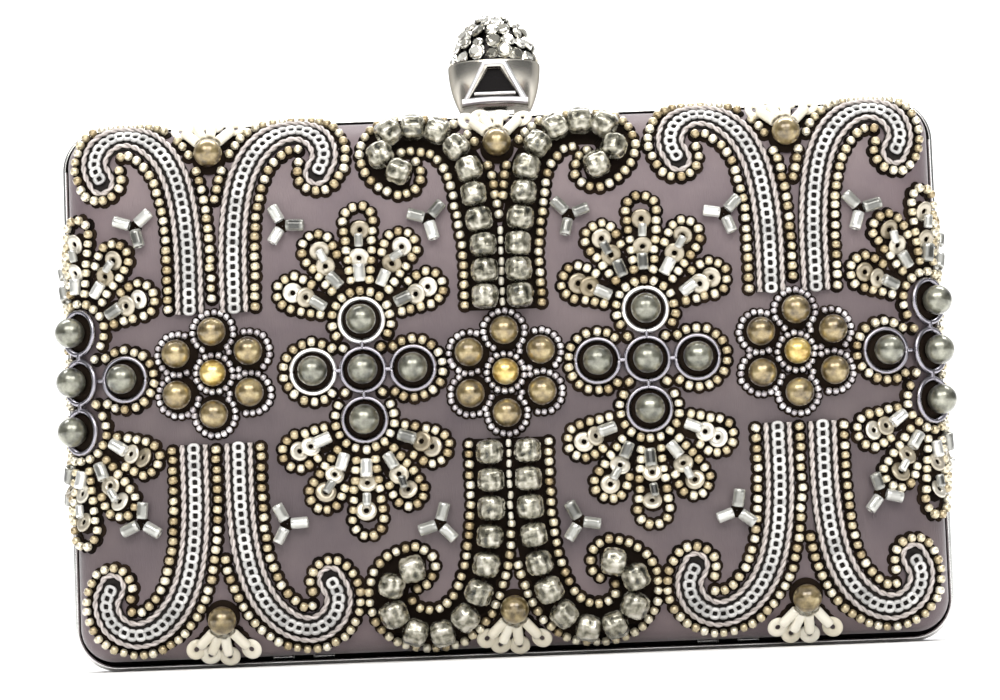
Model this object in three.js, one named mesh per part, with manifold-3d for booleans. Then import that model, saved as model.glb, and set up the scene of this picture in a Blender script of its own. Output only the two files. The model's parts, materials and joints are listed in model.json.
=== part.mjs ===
// Box clutch: two satin-covered shells in hinged metal frames, closed by a jewelled ball clasp.
// The front is sewn with beadwork: pearl flowers, crosses of ringed pearls, braid scrolls and bead strings.
// Millimetres, +Z up, front towards -Y, standing closed on the bottom edge of the frames.
import * as THREE from "three";
import { mergeVertices } from "three/addons/utils/BufferGeometryUtils.js";
import Module from "manifold-3d";

const wasm = await Module();
wasm.setup();

// Driving sizes
const GAP = 0.3;
const FRAME = {
  width: 185,
  height: 115,
  lip: 1.2,
  lipDepth: 8,
  crevice: 0.8,
  flange: 1.25,
  flangeReach: 2.6,
  seam: 0.15,
  bevel: 1.6,
  bevelDepth: 1.35,
};
const SHELL = {
  wall: 2,
  straight: 9,
  dome: 15,
  fullness: 3.5,
  corner: 7,
  cornerGrowth: 0.35,
  flatMiddle: 0.5,
};
const HINGE = { spread: 45, height: 1.6, knuckle: 1.3, bore: 0.75, pin: 0.45, relief: 1.6, pinLength: 12.6 };
const CLASP = {
  lift: 1.8,
  bowl: 9.8,
  radius: 9.9,
  footRadius: 7.7,
  domeRadius: 8.6,
  domeHeight: 10.4,
  sides: 16,
  bands: 5,
};
const PIVOT = {
  y: 3.2,
  drop: 0.1,
  pin: 0.6,
  pinOverlap: 1,
  lugWidth: 5,
  lugRadius: 1.6,
  hollow: 2.6,
  hollowWidth: 6,
};
const FACET = { topWidth: 5, baseWidth: 14.2, foot: 0.4, head: 0.7, front: -8.9, back: -4 };
const RECESS = { topWidth: 2.8, baseWidth: 11, foot: 1.6, head: 1.6, front: -12, back: -7 };
const CATCH = { width: 8, thick: 1, y: -3.6, clearance: 0.4 };
const SEAT = 0.35;
const PEARL = { flower: 2.95, heart: 2.75, single: 2.95, grey: 3.1 };
const RING = { outer: 5, middle: 4.5, height: 1.05, floor: 0.4 };
const LINK = { width: 1.4, thick: 0.7, height: 2.1 };
const BRAID = { seat: 0.5, width: 5.6, shoulder: 0.9, crown: 1.3, edge: 0.9, steps: 14 };
const STRING = { bead: 2.65, neck: 1.1, count: 12, shoulder: 0.24 };

const HALF_X = FRAME.width / 2 - FRAME.lip - FRAME.crevice;
const HALF_Z = FRAME.height / 2 - FRAME.lip - FRAME.crevice;
const MID_Z = FRAME.height / 2;
const MOUTH = FRAME.seam + FRAME.flange + GAP;
const RIM = -(FRAME.lip + FRAME.crevice);
const CLASP_FOOT = FRAME.height + CLASP.lift;
const CLASP_RIM = CLASP_FOOT + CLASP.bowl;
const PIVOT_Z = CLASP_FOOT - PIVOT.drop;
const CORNER_POINTS = 5;
const ROUND = 10;
const PEARL_BANDS = 4;
const FRONT = -1;
const BACK = 1;

// Where the outline is cut into rings, as distances in from the shell's edge
const OUTER_INSETS = [0, 0.6, 2, 5, 10, 20, 36];
const INNER_INSETS = [0, 1.2, 6, 24];

// Beadwork layout: a motif's middle along the front, and how far its middle is above the panel's middle
const COLUMNS = [
  { name: "left", u: -60, rise: 2, flowerRise: 3, sewn: "braid" },
  { name: "middle", u: 0, rise: 1, flowerRise: 1, sewn: "beads" },
  { name: "right", u: 60, rise: 2, flowerRise: 3, sewn: "braid" },
];
const PALMETTES = [
  { name: "left", u: -29.3 },
  { name: "right", u: 29.3 },
];
const EDGES = [
  { name: "left", u: -88.8, inward: 1 },
  { name: "right", u: 88.8, inward: -1 },
];
const PALMETTE_RISE = 2.6;
const PETAL_RADIUS = 8.5;
const CROSS_ARM = 10.3;
const SINGLE_RISE = 0.6;
const SINGLE_HEIGHT = 47.6;

// One scroll, from the flower to the end of its curl: across from its column, and up from the column's middle
const BRAID_SCROLL = [
  { across: 4.6, up: 13.5 },
  { across: 4.7, up: 28 },
  { across: 5.6, up: 36.5 },
  { across: 7.2, up: 42.5 },
  { across: 10, up: 47.5 },
  { across: 14.5, up: 51.3 },
  { across: 19, up: 52 },
  { across: 22.8, up: 49.5 },
  { across: 24, up: 45.5 },
  { across: 22.5, up: 42 },
];
const UPPER_STRING = [
  { across: 3.7, up: 13 },
  { across: 3.6, up: 26 },
  { across: 5.2, up: 36.8 },
  { across: 6, up: 42 },
  { across: 8.3, up: 46.4 },
  { across: 12, up: 50 },
  { across: 17.5, up: 51.2 },
  { across: 22.4, up: 50.3 },
  { across: 24.4, up: 46.4 },
  { across: 22.9, up: 43.5 },
  { across: 20.5, up: 42 },
  { across: 18, up: 41.2 },
];
const LOWER_STRING = [
  { across: 3.9, up: 13.5 },
  { across: 4, up: 28 },
  { across: 5.3, up: 38.5 },
  { across: 7, up: 44 },
  { across: 9.5, up: 48.6 },
  { across: 13.8, up: 51.9 },
  { across: 19.4, up: 52.2 },
  { across: 24, up: 49.4 },
  { across: 25.4, up: 44.6 },
  { across: 24, up: 40.9 },
  { across: 20.3, up: 39.3 },
  { across: 17.8, up: 39.2 },
];
const QUARTERS = [
  { name: "upper_left", side: -1, level: 1 },
  { name: "upper_right", side: 1, level: 1 },
  { name: "lower_left", side: -1, level: -1 },
  { name: "lower_right", side: 1, level: -1 },
];

// Clasp stones: rows round the dome, as an angle from its top and a count
const STONE = { girdle: 2.3, table: 1.4, crown: 1, pavilion: 1.2, facets: 8, domeSides: 12, domeBands: 8 };
const STONE_ROWS = [
  { angle: 0, count: 1 },
  { angle: 32, count: 6 },
  { angle: 66, count: 9 },
];

const FINISH = {
  satin: { color: 0x8a7874, roughness: 0.55, metalness: 0 },
  silver: { color: 0xd4d3d0, roughness: 0.16, metalness: 1 },
  steel: { color: 0x8d8b88, roughness: 0.35, metalness: 1 },
  crystal: { color: 0xe9ecee, roughness: 0.05, metalness: 0 },
  bronze: { color: 0x86693f, roughness: 0.25, metalness: 0.2 },
  golden: { color: 0xb88d3c, roughness: 0.25, metalness: 0.2 },
  grey: { color: 0x5f6154, roughness: 0.25, metalness: 0.2 },
  braid: { color: 0xc3c1c0, roughness: 0.4, metalness: 0.8 },
  champagne: { color: 0xc7c0a8, roughness: 0.3, metalness: 0.7 },
};

// The lathe's own axis, which stands along the face's normal when a piece is laid on the face
const LIFT = new THREE.Vector3(0, 1, 0);
const AXIS_X = new THREE.Vector3(1, 0, 0);

const clutch = new THREE.Group();

function addPiece(name, geometry, finish) {
  const piece = new THREE.Mesh(geometry, new THREE.MeshStandardMaterial(finish));
  piece.name = name;
  clutch.add(piece);
  return piece;
}

// Mesh helpers

function signedVolume(geometry) {
  const position = geometry.getAttribute("position");
  const index = geometry.getIndex().array;
  const corner = [new THREE.Vector3(), new THREE.Vector3(), new THREE.Vector3()];
  let volume = 0;
  for (let i = 0; i < index.length; i += 3) {
    corner.forEach((point, k) => point.fromBufferAttribute(position, index[i + k]));
    volume += corner[0].dot(corner[1].clone().cross(corner[2])) / 6;
  }
  return volume;
}

function facingOut(geometry) {
  if (signedVolume(geometry) < 0) {
    const index = Array.from(geometry.getIndex().array);
    for (let i = 0; i < index.length; i += 3) {
      [index[i + 1], index[i + 2]] = [index[i + 2], index[i + 1]];
    }
    geometry.setIndex(index);
  }
  geometry.computeVertexNormals();
  return geometry;
}

function meshOf(points, triangles) {
  const geometry = new THREE.BufferGeometry().setFromPoints(points);
  geometry.setIndex(triangles);
  return facingOut(geometry);
}

// Skin through rings of equal length: closed round each ring, and either capped or joined end to end
function loft(rings, joined = false) {
  const count = rings[0].length;
  const points = rings.flat();
  const triangles = [];
  const bands = joined ? rings.length : rings.length - 1;
  for (let r = 0; r < bands; r += 1) {
    const here = r * count;
    const next = ((r + 1) % rings.length) * count;
    for (let k = 0; k < count; k += 1) {
      const after = (k + 1) % count;
      triangles.push(here + k, here + after, next + after, here + k, next + after, next + k);
    }
  }
  if (!joined) {
    const ends = [{ ring: 0, turn: 1 }, { ring: rings.length - 1, turn: 0 }];
    for (const { ring, turn } of ends) {
      const middle = new THREE.Vector3();
      rings[ring].forEach((point) => middle.addScaledVector(point, 1 / count));
      points.push(middle);
      for (let k = 0; k < count; k += 1) {
        const pair = [ring * count + k, ring * count + ((k + 1) % count)];
        triangles.push(points.length - 1, pair[turn], pair[1 - turn]);
      }
    }
  }
  return meshOf(points, triangles);
}

function welded(geometry) {
  const bare = new THREE.BufferGeometry();
  bare.setAttribute("position", geometry.getAttribute("position").clone());
  if (geometry.getIndex()) {
    bare.setIndex(geometry.getIndex().clone());
  }
  const merged = mergeVertices(bare, 1e-4);
  const index = merged.getIndex().array;
  const kept = [];
  for (let i = 0; i < index.length; i += 3) {
    const [a, b, c] = [index[i], index[i + 1], index[i + 2]];
    if (a !== b && b !== c && c !== a) {
      kept.push(a, b, c);
    }
  }
  merged.setIndex(kept);
  return facingOut(merged);
}

function solid(geometry) {
  const bare = welded(geometry);
  const vertProperties = new Float32Array(bare.getAttribute("position").array);
  const triVerts = new Uint32Array(bare.getIndex().array);
  return new wasm.Manifold(new wasm.Mesh({ numProp: 3, vertProperties, triVerts }));
}

function geometryOf(manifold) {
  const mesh = manifold.getMesh();
  const geometry = new THREE.BufferGeometry();
  const corners = new Float32Array(mesh.numVert * 3);
  for (let i = 0; i < mesh.numVert; i += 1) {
    corners.set(mesh.vertProperties.subarray(i * mesh.numProp, i * mesh.numProp + 3), i * 3);
  }
  geometry.setAttribute("position", new THREE.BufferAttribute(corners, 3));
  geometry.setIndex(Array.from(mesh.triVerts));
  return facingOut(geometry);
}

function bar(size, centre) {
  return new THREE.BoxGeometry(...size).translate(...centre);
}

function rod(radius, from, to, y, z) {
  const geometry = new THREE.CylinderGeometry(radius, radius, to - from, ROUND);
  return geometry.rotateZ(Math.PI / 2).translate((from + to) / 2, y, z);
}

// Outline of the clutch seen from the front, at a distance in from the shell's edge

function outline(inset, corner, depth, side) {
  const points = [];
  const centreX = HALF_X - inset - corner;
  const centreZ = HALF_Z - inset - corner;
  const corners = [[1, 1], [-1, 1], [-1, -1], [1, -1]];
  corners.forEach(([signX, signZ], quarter) => {
    for (let k = 0; k < CORNER_POINTS; k += 1) {
      const angle = (Math.PI / 2) * (quarter + k / (CORNER_POINTS - 1));
      const x = signX * centreX + corner * Math.cos(angle);
      const z = MID_Z + signZ * centreZ + corner * Math.sin(angle);
      points.push(new THREE.Vector3(x, side * depth, z));
    }
  });
  return points;
}

function cornerAt(inset) {
  return Math.min(SHELL.corner + SHELL.cornerGrowth * inset, HALF_Z - inset - SHELL.flatMiddle);
}

function swell(share) {
  return (1 - (1 - share) ** SHELL.fullness) ** (1 / SHELL.fullness);
}

// Depth of the satin face from the parting plane, at a distance in from its edge
function faceDepth(inset) {
  return MOUTH + SHELL.straight + SHELL.dome * swell(Math.min(inset / HALF_Z, 1));
}

function shellGeometry(side) {
  const rings = [outline(0, SHELL.corner, MOUTH, side)];
  for (const inset of OUTER_INSETS) {
    rings.push(outline(inset, cornerAt(inset), faceDepth(inset), side));
  }
  const inner = [outline(SHELL.wall, SHELL.corner - SHELL.wall, MOUTH, side)];
  for (const inset of INNER_INSETS) {
    const rise = (SHELL.dome - SHELL.wall) * swell(inset / (HALF_Z - SHELL.wall));
    const corner = cornerAt(inset) - SHELL.wall;
    inner.push(outline(inset + SHELL.wall, corner, MOUTH + SHELL.straight + rise, side));
  }
  return loft([...rings.reverse(), ...inner]);
}

// Lengths along the face from its flat middle to the edge, for laying the beadwork on it
const PROFILE_STEPS = 600;
const PROFILE = [{ inset: HALF_Z, length: 0 }];
for (let i = 1; i <= PROFILE_STEPS; i += 1) {
  const inset = HALF_Z * (1 - i / PROFILE_STEPS) ** 3;
  const last = PROFILE[PROFILE.length - 1];
  const step = Math.hypot(last.inset - inset, faceDepth(last.inset) - faceDepth(inset));
  PROFILE.push({ inset, length: last.length + step });
}
const PROFILE_LENGTH = PROFILE[PROFILE_STEPS].length;

function insetAfter(length) {
  const next = PROFILE.findIndex((row) => row.length >= length);
  if (next <= 0) {
    return next === 0 ? HALF_Z : 0;
  }
  const [a, b] = [PROFILE[next - 1], PROFILE[next]];
  const share = (length - a.length) / (b.length - a.length);
  return a.inset + (b.inset - a.inset) * share;
}

function insideOutline(x, z, inset) {
  const corner = cornerAt(inset);
  const overX = Math.abs(x) - (HALF_X - inset - corner);
  const overZ = Math.abs(z) - (HALF_Z - inset - corner);
  if (overX <= 0 || overZ <= 0) {
    return overX <= corner && overZ <= corner;
  }
  return Math.hypot(overX, overZ) <= corner;
}

// How far in from the edge a point lies, by halving the range that holds it
function insetOf(x, z) {
  const halvings = 30;
  let low = 0;
  let high = HALF_Z - 2 * SHELL.flatMiddle;
  for (let i = 0; i < halvings; i += 1) {
    const middle = (low + high) / 2;
    if (insideOutline(x, z, middle)) {
      low = middle;
    } else {
      high = middle;
    }
  }
  return low;
}

// Point of the front face, from lengths measured over the satin: across from the middle, and up from it
function facePoint(u, v) {
  const alongX = Math.max(0, Math.abs(u) - (HALF_X - HALF_Z));
  const alongZ = Math.abs(v);
  const x = Math.sign(u) * Math.min(Math.abs(u), HALF_X - insetAfter(alongX));
  const z = Math.sign(v) * (HALF_Z - insetAfter(alongZ));
  const overEdge = Math.max(alongX, alongZ) - PROFILE_LENGTH;
  const depth = overEdge > 0 ? MOUTH + SHELL.straight - overEdge : faceDepth(insetOf(x, z));
  return new THREE.Vector3(x, FRONT * depth, MID_Z + z);
}

function faceNormal(u, v) {
  const step = 0.2;
  const across = facePoint(u + step, v).sub(facePoint(u - step, v));
  const up = facePoint(u, v + step).sub(facePoint(u, v - step));
  return across.cross(up).normalize();
}

function abovePoint(u, v, height) {
  return facePoint(u, v).addScaledVector(faceNormal(u, v), height);
}

// Shells

addPiece("front_shell", shellGeometry(FRONT), FINISH.satin);
addPiece("back_shell", shellGeometry(BACK), FINISH.satin);

// Frames: an L-shaped ring round each mouth, bevelled along the parting line so that the hinge can open

function frameRing(side) {
  const flangeFront = FRAME.seam + FRAME.flange;
  const section = [
    { inset: RIM + FRAME.bevel, depth: FRAME.seam },
    { inset: RIM, depth: FRAME.seam + FRAME.bevelDepth },
    { inset: RIM, depth: FRAME.lipDepth },
    { inset: RIM + FRAME.lip, depth: FRAME.lipDepth },
    { inset: RIM + FRAME.lip, depth: flangeFront },
    { inset: FRAME.flangeReach, depth: flangeFront },
    { inset: FRAME.flangeReach, depth: FRAME.seam },
  ];
  const rings = section.map((row) => outline(row.inset, SHELL.corner - row.inset, row.depth, side));
  return loft(rings, true);
}

const KNUCKLES = [
  { owner: BACK, from: -6.3, to: -2.3 },
  { owner: FRONT, from: -2, to: 2 },
  { owner: BACK, from: 2.3, to: 6.3 },
];

function frameGeometry(side, fittings) {
  let ring = solid(frameRing(side));
  for (const x of [-HINGE.spread, HINGE.spread]) {
    const others = KNUCKLES.filter((row) => row.owner !== side);
    for (const { from, to } of others) {
      ring = ring.subtract(solid(rod(HINGE.relief, x + from - GAP, x + to + GAP, 0, HINGE.height)));
    }
    const own = KNUCKLES.filter((row) => row.owner === side);
    for (const { from, to } of own) {
      ring = ring.add(solid(rod(HINGE.knuckle, x + from, x + to, 0, HINGE.height)));
    }
    const reach = HINGE.pinLength / 2 + GAP;
    ring = ring.subtract(solid(rod(HINGE.bore, x - reach, x + reach, 0, HINGE.height)));
  }
  return geometryOf(fittings(ring));
}

// The front's catch is a plain upright tongue under the ball
function withCatch(ring) {
  const low = FRAME.height - FRAME.lip / 2;
  const height = CLASP_FOOT - CATCH.clearance - low;
  const tongue = bar([CATCH.width, CATCH.thick, height], [0, CATCH.y, low + height / 2]);
  return ring.add(solid(tongue));
}

// The ball tilts on a lug with a bored round top
function withLug(ring) {
  const low = FRAME.height - FRAME.lip / 2;
  const height = PIVOT_Z - low;
  const half = PIVOT.lugWidth / 2;
  const post = bar([PIVOT.lugWidth, 2 * PIVOT.lugRadius, height], [0, PIVOT.y, low + height / 2]);
  const eye = rod(PIVOT.lugRadius, -half, half, PIVOT.y, PIVOT_Z);
  const bore = rod(PIVOT.pin + GAP, -2 * half, 2 * half, PIVOT.y, PIVOT_Z);
  return ring.add(solid(post)).add(solid(eye)).subtract(solid(bore));
}

addPiece("front_frame", frameGeometry(FRONT, withCatch), FINISH.silver);
addPiece("back_frame", frameGeometry(BACK, withLug), FINISH.silver);

for (const { name, side } of [{ name: "left", side: -1 }, { name: "right", side: 1 }]) {
  const middle = side * HINGE.spread;
  const half = HINGE.pinLength / 2;
  const pin = rod(HINGE.pin, middle - half, middle + half, 0, HINGE.height);
  addPiece(`hinge_pin_${name}`, pin, FINISH.steel);
}

// Clasp ball: a polished bowl with a framed triangular recess in front and a hollow for the lug underneath

function trapezoid({ topWidth, baseWidth, foot, head, front, back }) {
  const low = CLASP_FOOT + foot;
  const high = CLASP_RIM - head;
  const shape = new THREE.Shape();
  shape.moveTo(-baseWidth / 2, low);
  shape.lineTo(baseWidth / 2, low);
  shape.lineTo(topWidth / 2, high);
  shape.lineTo(-topWidth / 2, high);
  shape.closePath();
  const block = new THREE.ExtrudeGeometry(shape, { depth: back - front, bevelEnabled: false });
  return block.rotateX(Math.PI / 2).translate(0, back, 0);
}

function claspBall() {
  const ellipse = CLASP.bowl / Math.sqrt(1 - (CLASP.footRadius / CLASP.radius) ** 2);
  const profile = [new THREE.Vector2(0, CLASP_FOOT)];
  for (let i = 0; i <= CLASP.bands; i += 1) {
    const below = CLASP.bowl * (1 - i / CLASP.bands);
    const radius = CLASP.radius * Math.sqrt(1 - (below / ellipse) ** 2);
    profile.push(new THREE.Vector2(radius, CLASP_RIM - below));
  }
  profile.push(new THREE.Vector2(0, CLASP_RIM));
  const bowl = solid(new THREE.LatheGeometry(profile, CLASP.sides).rotateX(Math.PI / 2));
  const hollow = bar([PIVOT.hollowWidth, 2 * PIVOT.hollow, 2 * PIVOT.hollow], [0, PIVOT.y, PIVOT_Z]);
  const pinEnd = PIVOT.hollowWidth / 2 + PIVOT.pinOverlap;
  const pin = rod(PIVOT.pin, -pinEnd, pinEnd, PIVOT.y, PIVOT_Z);
  const faced = bowl.add(solid(trapezoid(FACET))).subtract(solid(trapezoid(RECESS)));
  return geometryOf(faced.subtract(solid(hollow)).add(solid(pin)));
}

// Clasp stones: a dome of cut stones, each with a flat table, fused to its setting
function claspStones() {
  const size = 4 * CLASP.domeRadius;
  const above = solid(bar([size, size, size], [0, 0, CLASP_RIM + GAP + size / 2]));
  const centre = new THREE.Vector3(0, 0, CLASP_RIM);
  const reach = new THREE.Vector3(CLASP.domeRadius, CLASP.domeRadius, CLASP.domeHeight);
  const ball = new THREE.SphereGeometry(1, STONE.domeSides, STONE.domeBands).rotateX(Math.PI / 2);
  let field = solid(ball.scale(reach.x, reach.y, reach.z).translate(0, 0, CLASP_RIM)).intersect(above);
  const cut = [
    new THREE.Vector2(0, -STONE.pavilion),
    new THREE.Vector2(STONE.girdle, 0),
    new THREE.Vector2(STONE.table, STONE.crown),
    new THREE.Vector2(0, STONE.crown),
  ];
  STONE_ROWS.forEach(({ angle, count }, row) => {
    for (let k = 0; k < count; k += 1) {
      const turn = ((k + 0.5 * (row % 2)) / count) * 2 * Math.PI;
      const out = new THREE.Vector3().setFromSphericalCoords(1, THREE.MathUtils.degToRad(angle), turn);
      out.applyAxisAngle(AXIS_X, Math.PI / 2);
      const stone = new THREE.LatheGeometry(cut, STONE.facets);
      stone.applyQuaternion(new THREE.Quaternion().setFromUnitVectors(LIFT, out));
      const place = out.clone().multiply(reach).add(centre);
      field = field.add(solid(stone.translate(place.x, place.y, place.z)));
    }
  });
  return geometryOf(field.intersect(above));
}

addPiece("clasp_ball", claspBall(), FINISH.silver);
addPiece("clasp_stones", claspStones(), FINISH.crystal);

// Pearls

function addPearl(name, u, v, radius, finish) {
  const pearl = addPiece(name, new THREE.SphereGeometry(radius, ROUND, PEARL_BANDS), finish);
  pearl.position.copy(abovePoint(u, v, SEAT + radius));
  pearl.quaternion.setFromUnitVectors(LIFT, faceNormal(u, v));
}

for (const column of COLUMNS) {
  addPearl(`flower_${column.name}_heart`, column.u, column.flowerRise, PEARL.heart, FINISH.golden);
  for (let k = 0; k < 6; k += 1) {
    const angle = Math.PI / 2 + (k * Math.PI) / 3;
    const u = column.u + PETAL_RADIUS * Math.cos(angle);
    const v = column.flowerRise + PETAL_RADIUS * Math.sin(angle);
    addPearl(`flower_${column.name}_petal_${k + 1}`, u, v, PEARL.flower, FINISH.bronze);
  }
  for (const { name, level } of [{ name: "top", level: 1 }, { name: "bottom", level: -1 }]) {
    const v = SINGLE_RISE + level * SINGLE_HEIGHT;
    addPearl(`pearl_${column.name}_${name}`, column.u, v, PEARL.single, FINISH.bronze);
  }
}

// Ringed pearl: a grey pearl and the wire ring round it, on one thin setting
function ringedPearl() {
  const r = PEARL.grey;
  const slant = r * Math.SQRT1_2;
  const profile = [
    { radius: 0, height: 2 * r },
    { radius: slant, height: r + slant },
    { radius: r, height: r },
    { radius: slant, height: RING.floor },
    { radius: RING.middle, height: RING.height },
    { radius: RING.outer, height: 0 },
    { radius: 0, height: 0 },
  ];
  const points = profile.map((row) => new THREE.Vector2(row.radius, row.height));
  return welded(new THREE.LatheGeometry(points.reverse(), ROUND));
}

const CROSS = [
  { name: "centre", across: 0, up: 0 },
  { name: "left", across: -1, up: 0 },
  { name: "right", across: 1, up: 0 },
  { name: "top", across: 0, up: 1 },
  { name: "bottom", across: 0, up: -1 },
];

for (const palmette of PALMETTES) {
  for (const arm of CROSS) {
    const u = palmette.u + arm.across * CROSS_ARM;
    const v = PALMETTE_RISE + arm.up * CROSS_ARM;
    const pearl = addPiece(`palmette_${palmette.name}_${arm.name}`, ringedPearl(), FINISH.grey);
    pearl.position.copy(abovePoint(u, v, SEAT));
    pearl.quaternion.setFromUnitVectors(LIFT, faceNormal(u, v));
  }
}

// Ringed pearls that wrap each end of the front, chained into one piece by short links between their rings
for (const edge of EDGES) {
  const arms = CROSS.filter((arm) => arm.across !== -edge.inward);
  const places = arms.map((arm) => {
    const u = edge.u + arm.across * CROSS_ARM;
    const v = PALMETTE_RISE + arm.up * CROSS_ARM;
    const high = abovePoint(u, v, SEAT + LINK.height);
    return { seat: abovePoint(u, v, SEAT), high, normal: faceNormal(u, v) };
  });
  const pearls = places.map(({ seat, normal }) => {
    const turn = new THREE.Quaternion().setFromUnitVectors(LIFT, normal);
    return solid(ringedPearl().applyQuaternion(turn).translate(seat.x, seat.y, seat.z));
  });
  let chain = pearls.reduce((all, next) => all.add(next));
  for (const place of places.slice(1)) {
    const along = place.high.clone().sub(places[0].high);
    const block = new THREE.BoxGeometry(LINK.width, along.length(), LINK.thick);
    block.applyQuaternion(new THREE.Quaternion().setFromUnitVectors(LIFT, along.clone().normalize()));
    const middle = places[0].high.clone().addScaledVector(along, 0.5);
    chain = chain.add(solid(block.translate(middle.x, middle.y, middle.z)));
  }
  addPiece(`edge_pearls_${edge.name}`, geometryOf(chain), FINISH.grey);
}

// Scrolls

function scrollCurve(rows, column, quarter) {
  const points = rows.map(({ across, up }) => {
    const u = column.u + quarter.side * across;
    return new THREE.Vector3(u, column.rise + quarter.level * up, 0);
  });
  return new THREE.CatmullRomCurve3(points, false, "centripetal");
}

function braidBand(column, quarter) {
  const curve = scrollCurve(BRAID_SCROLL, column, quarter);
  const half = BRAID.width / 2;
  const section = [
    { across: -half, height: BRAID.seat },
    { across: 0, height: BRAID.seat },
    { across: half, height: BRAID.seat },
    { across: BRAID.shoulder * half, height: BRAID.seat + BRAID.edge },
    { across: 0, height: BRAID.seat + BRAID.crown },
    { across: -BRAID.shoulder * half, height: BRAID.seat + BRAID.edge },
  ];
  const rings = [];
  for (let i = 0; i <= BRAID.steps; i += 1) {
    const share = i / BRAID.steps;
    const place = curve.getPointAt(share);
    const along = curve.getTangentAt(share);
    rings.push(section.map(({ across, height }) =>
      abovePoint(place.x - across * along.y, place.y + across * along.x, height)));
  }
  return loft(rings);
}

// String of beads: one tube that swells at each bead and narrows to a neck between beads
function beadString(column, quarter) {
  const curve = scrollCurve(quarter.level > 0 ? UPPER_STRING : LOWER_STRING, column, quarter);
  const nudge = 0.01;
  const stations = [];
  for (let bead = 0; bead < STRING.count; bead += 1) {
    const middle = bead + 0.5;
    stations.push({ at: middle - 0.5, radius: STRING.neck });
    stations.push({ at: middle - STRING.shoulder, radius: STRING.bead });
    stations.push({ at: middle + STRING.shoulder, radius: STRING.bead });
  }
  stations.push({ at: STRING.count, radius: STRING.neck });
  const centre = (share) => {
    const place = curve.getPointAt(THREE.MathUtils.clamp(share, 0, 1));
    return abovePoint(place.x, place.y, SEAT + STRING.bead);
  };
  const rings = stations.map(({ at, radius }) => {
    const share = at / STRING.count;
    const along = centre(share + nudge).sub(centre(share - nudge)).normalize();
    const place = curve.getPointAt(share);
    const across = along.clone().cross(faceNormal(place.x, place.y)).normalize();
    const out = across.clone().cross(along).normalize();
    const ring = [];
    for (let k = 0; k < ROUND; k += 1) {
      const angle = (k / ROUND) * 2 * Math.PI;
      const point = centre(share).addScaledVector(across, radius * Math.cos(angle));
      ring.push(point.addScaledVector(out, radius * Math.sin(angle)));
    }
    return ring;
  });
  return loft(rings);
}

for (const column of COLUMNS) {
  for (const quarter of QUARTERS) {
    if (column.sewn === "braid") {
      addPiece(`braid_${column.name}_${quarter.name}`, braidBand(column, quarter), FINISH.braid);
    } else {
      addPiece(`beads_${quarter.name}`, beadString(column, quarter), FINISH.champagne);
    }
  }
}

// The origin is under the middle of the whole clutch, beads included
const box = new THREE.Box3().setFromObject(clutch);
clutch.position.set(-(box.min.x + box.max.x) / 2, -(box.min.y + box.max.y) / 2, -box.min.z);

export default clutch;
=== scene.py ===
import json
import math
from collections import defaultdict, namedtuple

import bpy
import numpy as np
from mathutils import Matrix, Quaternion, Vector


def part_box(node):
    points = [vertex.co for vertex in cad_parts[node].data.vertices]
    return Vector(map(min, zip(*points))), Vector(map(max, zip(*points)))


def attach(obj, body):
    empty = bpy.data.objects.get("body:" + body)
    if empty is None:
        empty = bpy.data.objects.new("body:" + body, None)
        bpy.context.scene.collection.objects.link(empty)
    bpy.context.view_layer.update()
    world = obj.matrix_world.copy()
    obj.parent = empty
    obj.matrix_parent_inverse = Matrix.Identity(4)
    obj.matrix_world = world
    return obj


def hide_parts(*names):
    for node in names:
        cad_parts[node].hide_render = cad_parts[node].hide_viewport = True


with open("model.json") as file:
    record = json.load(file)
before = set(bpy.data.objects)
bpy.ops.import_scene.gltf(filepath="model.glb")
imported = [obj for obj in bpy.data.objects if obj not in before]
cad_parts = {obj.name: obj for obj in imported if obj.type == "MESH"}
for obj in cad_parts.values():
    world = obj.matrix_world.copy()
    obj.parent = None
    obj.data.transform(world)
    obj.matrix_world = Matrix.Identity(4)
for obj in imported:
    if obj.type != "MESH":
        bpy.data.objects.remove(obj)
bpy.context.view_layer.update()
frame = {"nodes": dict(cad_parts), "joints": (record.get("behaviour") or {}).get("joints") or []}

# Shapes are worked out in millimetres and turned into metres when a mesh is made
MM = 0.001
rng = np.random.default_rng(11)

# Sizes of the case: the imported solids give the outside, and the rest repeats the part's source
shell_low, shell_high = (np.array(corner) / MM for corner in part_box("front_shell"))
joint_at = {joint["name"]: np.array(joint["pos_m"]) / MM for joint in frame["joints"]}
HALF_X, _, HALF_Z = (shell_high - shell_low) / 2
MID_Z = (shell_high[2] + shell_low[2]) / 2
_, PART_Y, HINGE_Z = joint_at["front_opens"]
_, PIVOT_Y, PIVOT_Z = joint_at["clasp_tilts"]
MOUTH = PART_Y - shell_high[1]
SHELL_WALL = 2.0
STRAIGHT = 9.0
DOME = 15.0
FULLNESS = 3.5
CORNER = 7.0
CORNER_GROWTH = 0.35
FLAT_MIDDLE = 0.5
EDGE_ROUND = 0.4
FRONT, BACK = -1, 1
GAP = 0.3

# Frames: an L-section with a rolled lip, and a bevel at the parting line with its edge eased
FRAME_LIP = 1.2
FRAME_LIP_DEPTH = 8.0
FRAME_RIM = -2.0
FRAME_FLANGE = 1.25
FRAME_REACH = 2.6
FRAME_SEAM = 0.15
FRAME_BEVEL = 1.6
FRAME_BEVEL_DEPTH = 1.35
BEVEL_EASE = [(0.15, -0.12), (0.0, 0.1)]
# Shares that stay bright silver: of the lip along the top and elsewhere, and of the flange; past them the
# frame gets painted shade
BRIGHT_LIP_TOP, BRIGHT_LIP = 0.5, 0.9
BRIGHT_FLANGE = 0.9

# Hinges: a knuckle is the half that it belongs to, and where it starts and ends along its hinge
HINGE_SPREAD = 45.0
HINGE_REACH = 6.6
KNUCKLES = [(BACK, -6.3, -2.3), (FRONT, -2.0, 2.0), (BACK, 2.3, 6.3)]
KNUCKLE_RADIUS = 1.3
KNUCKLE_RELIEF = 1.6
KNUCKLE_BORE = 0.75

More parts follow.
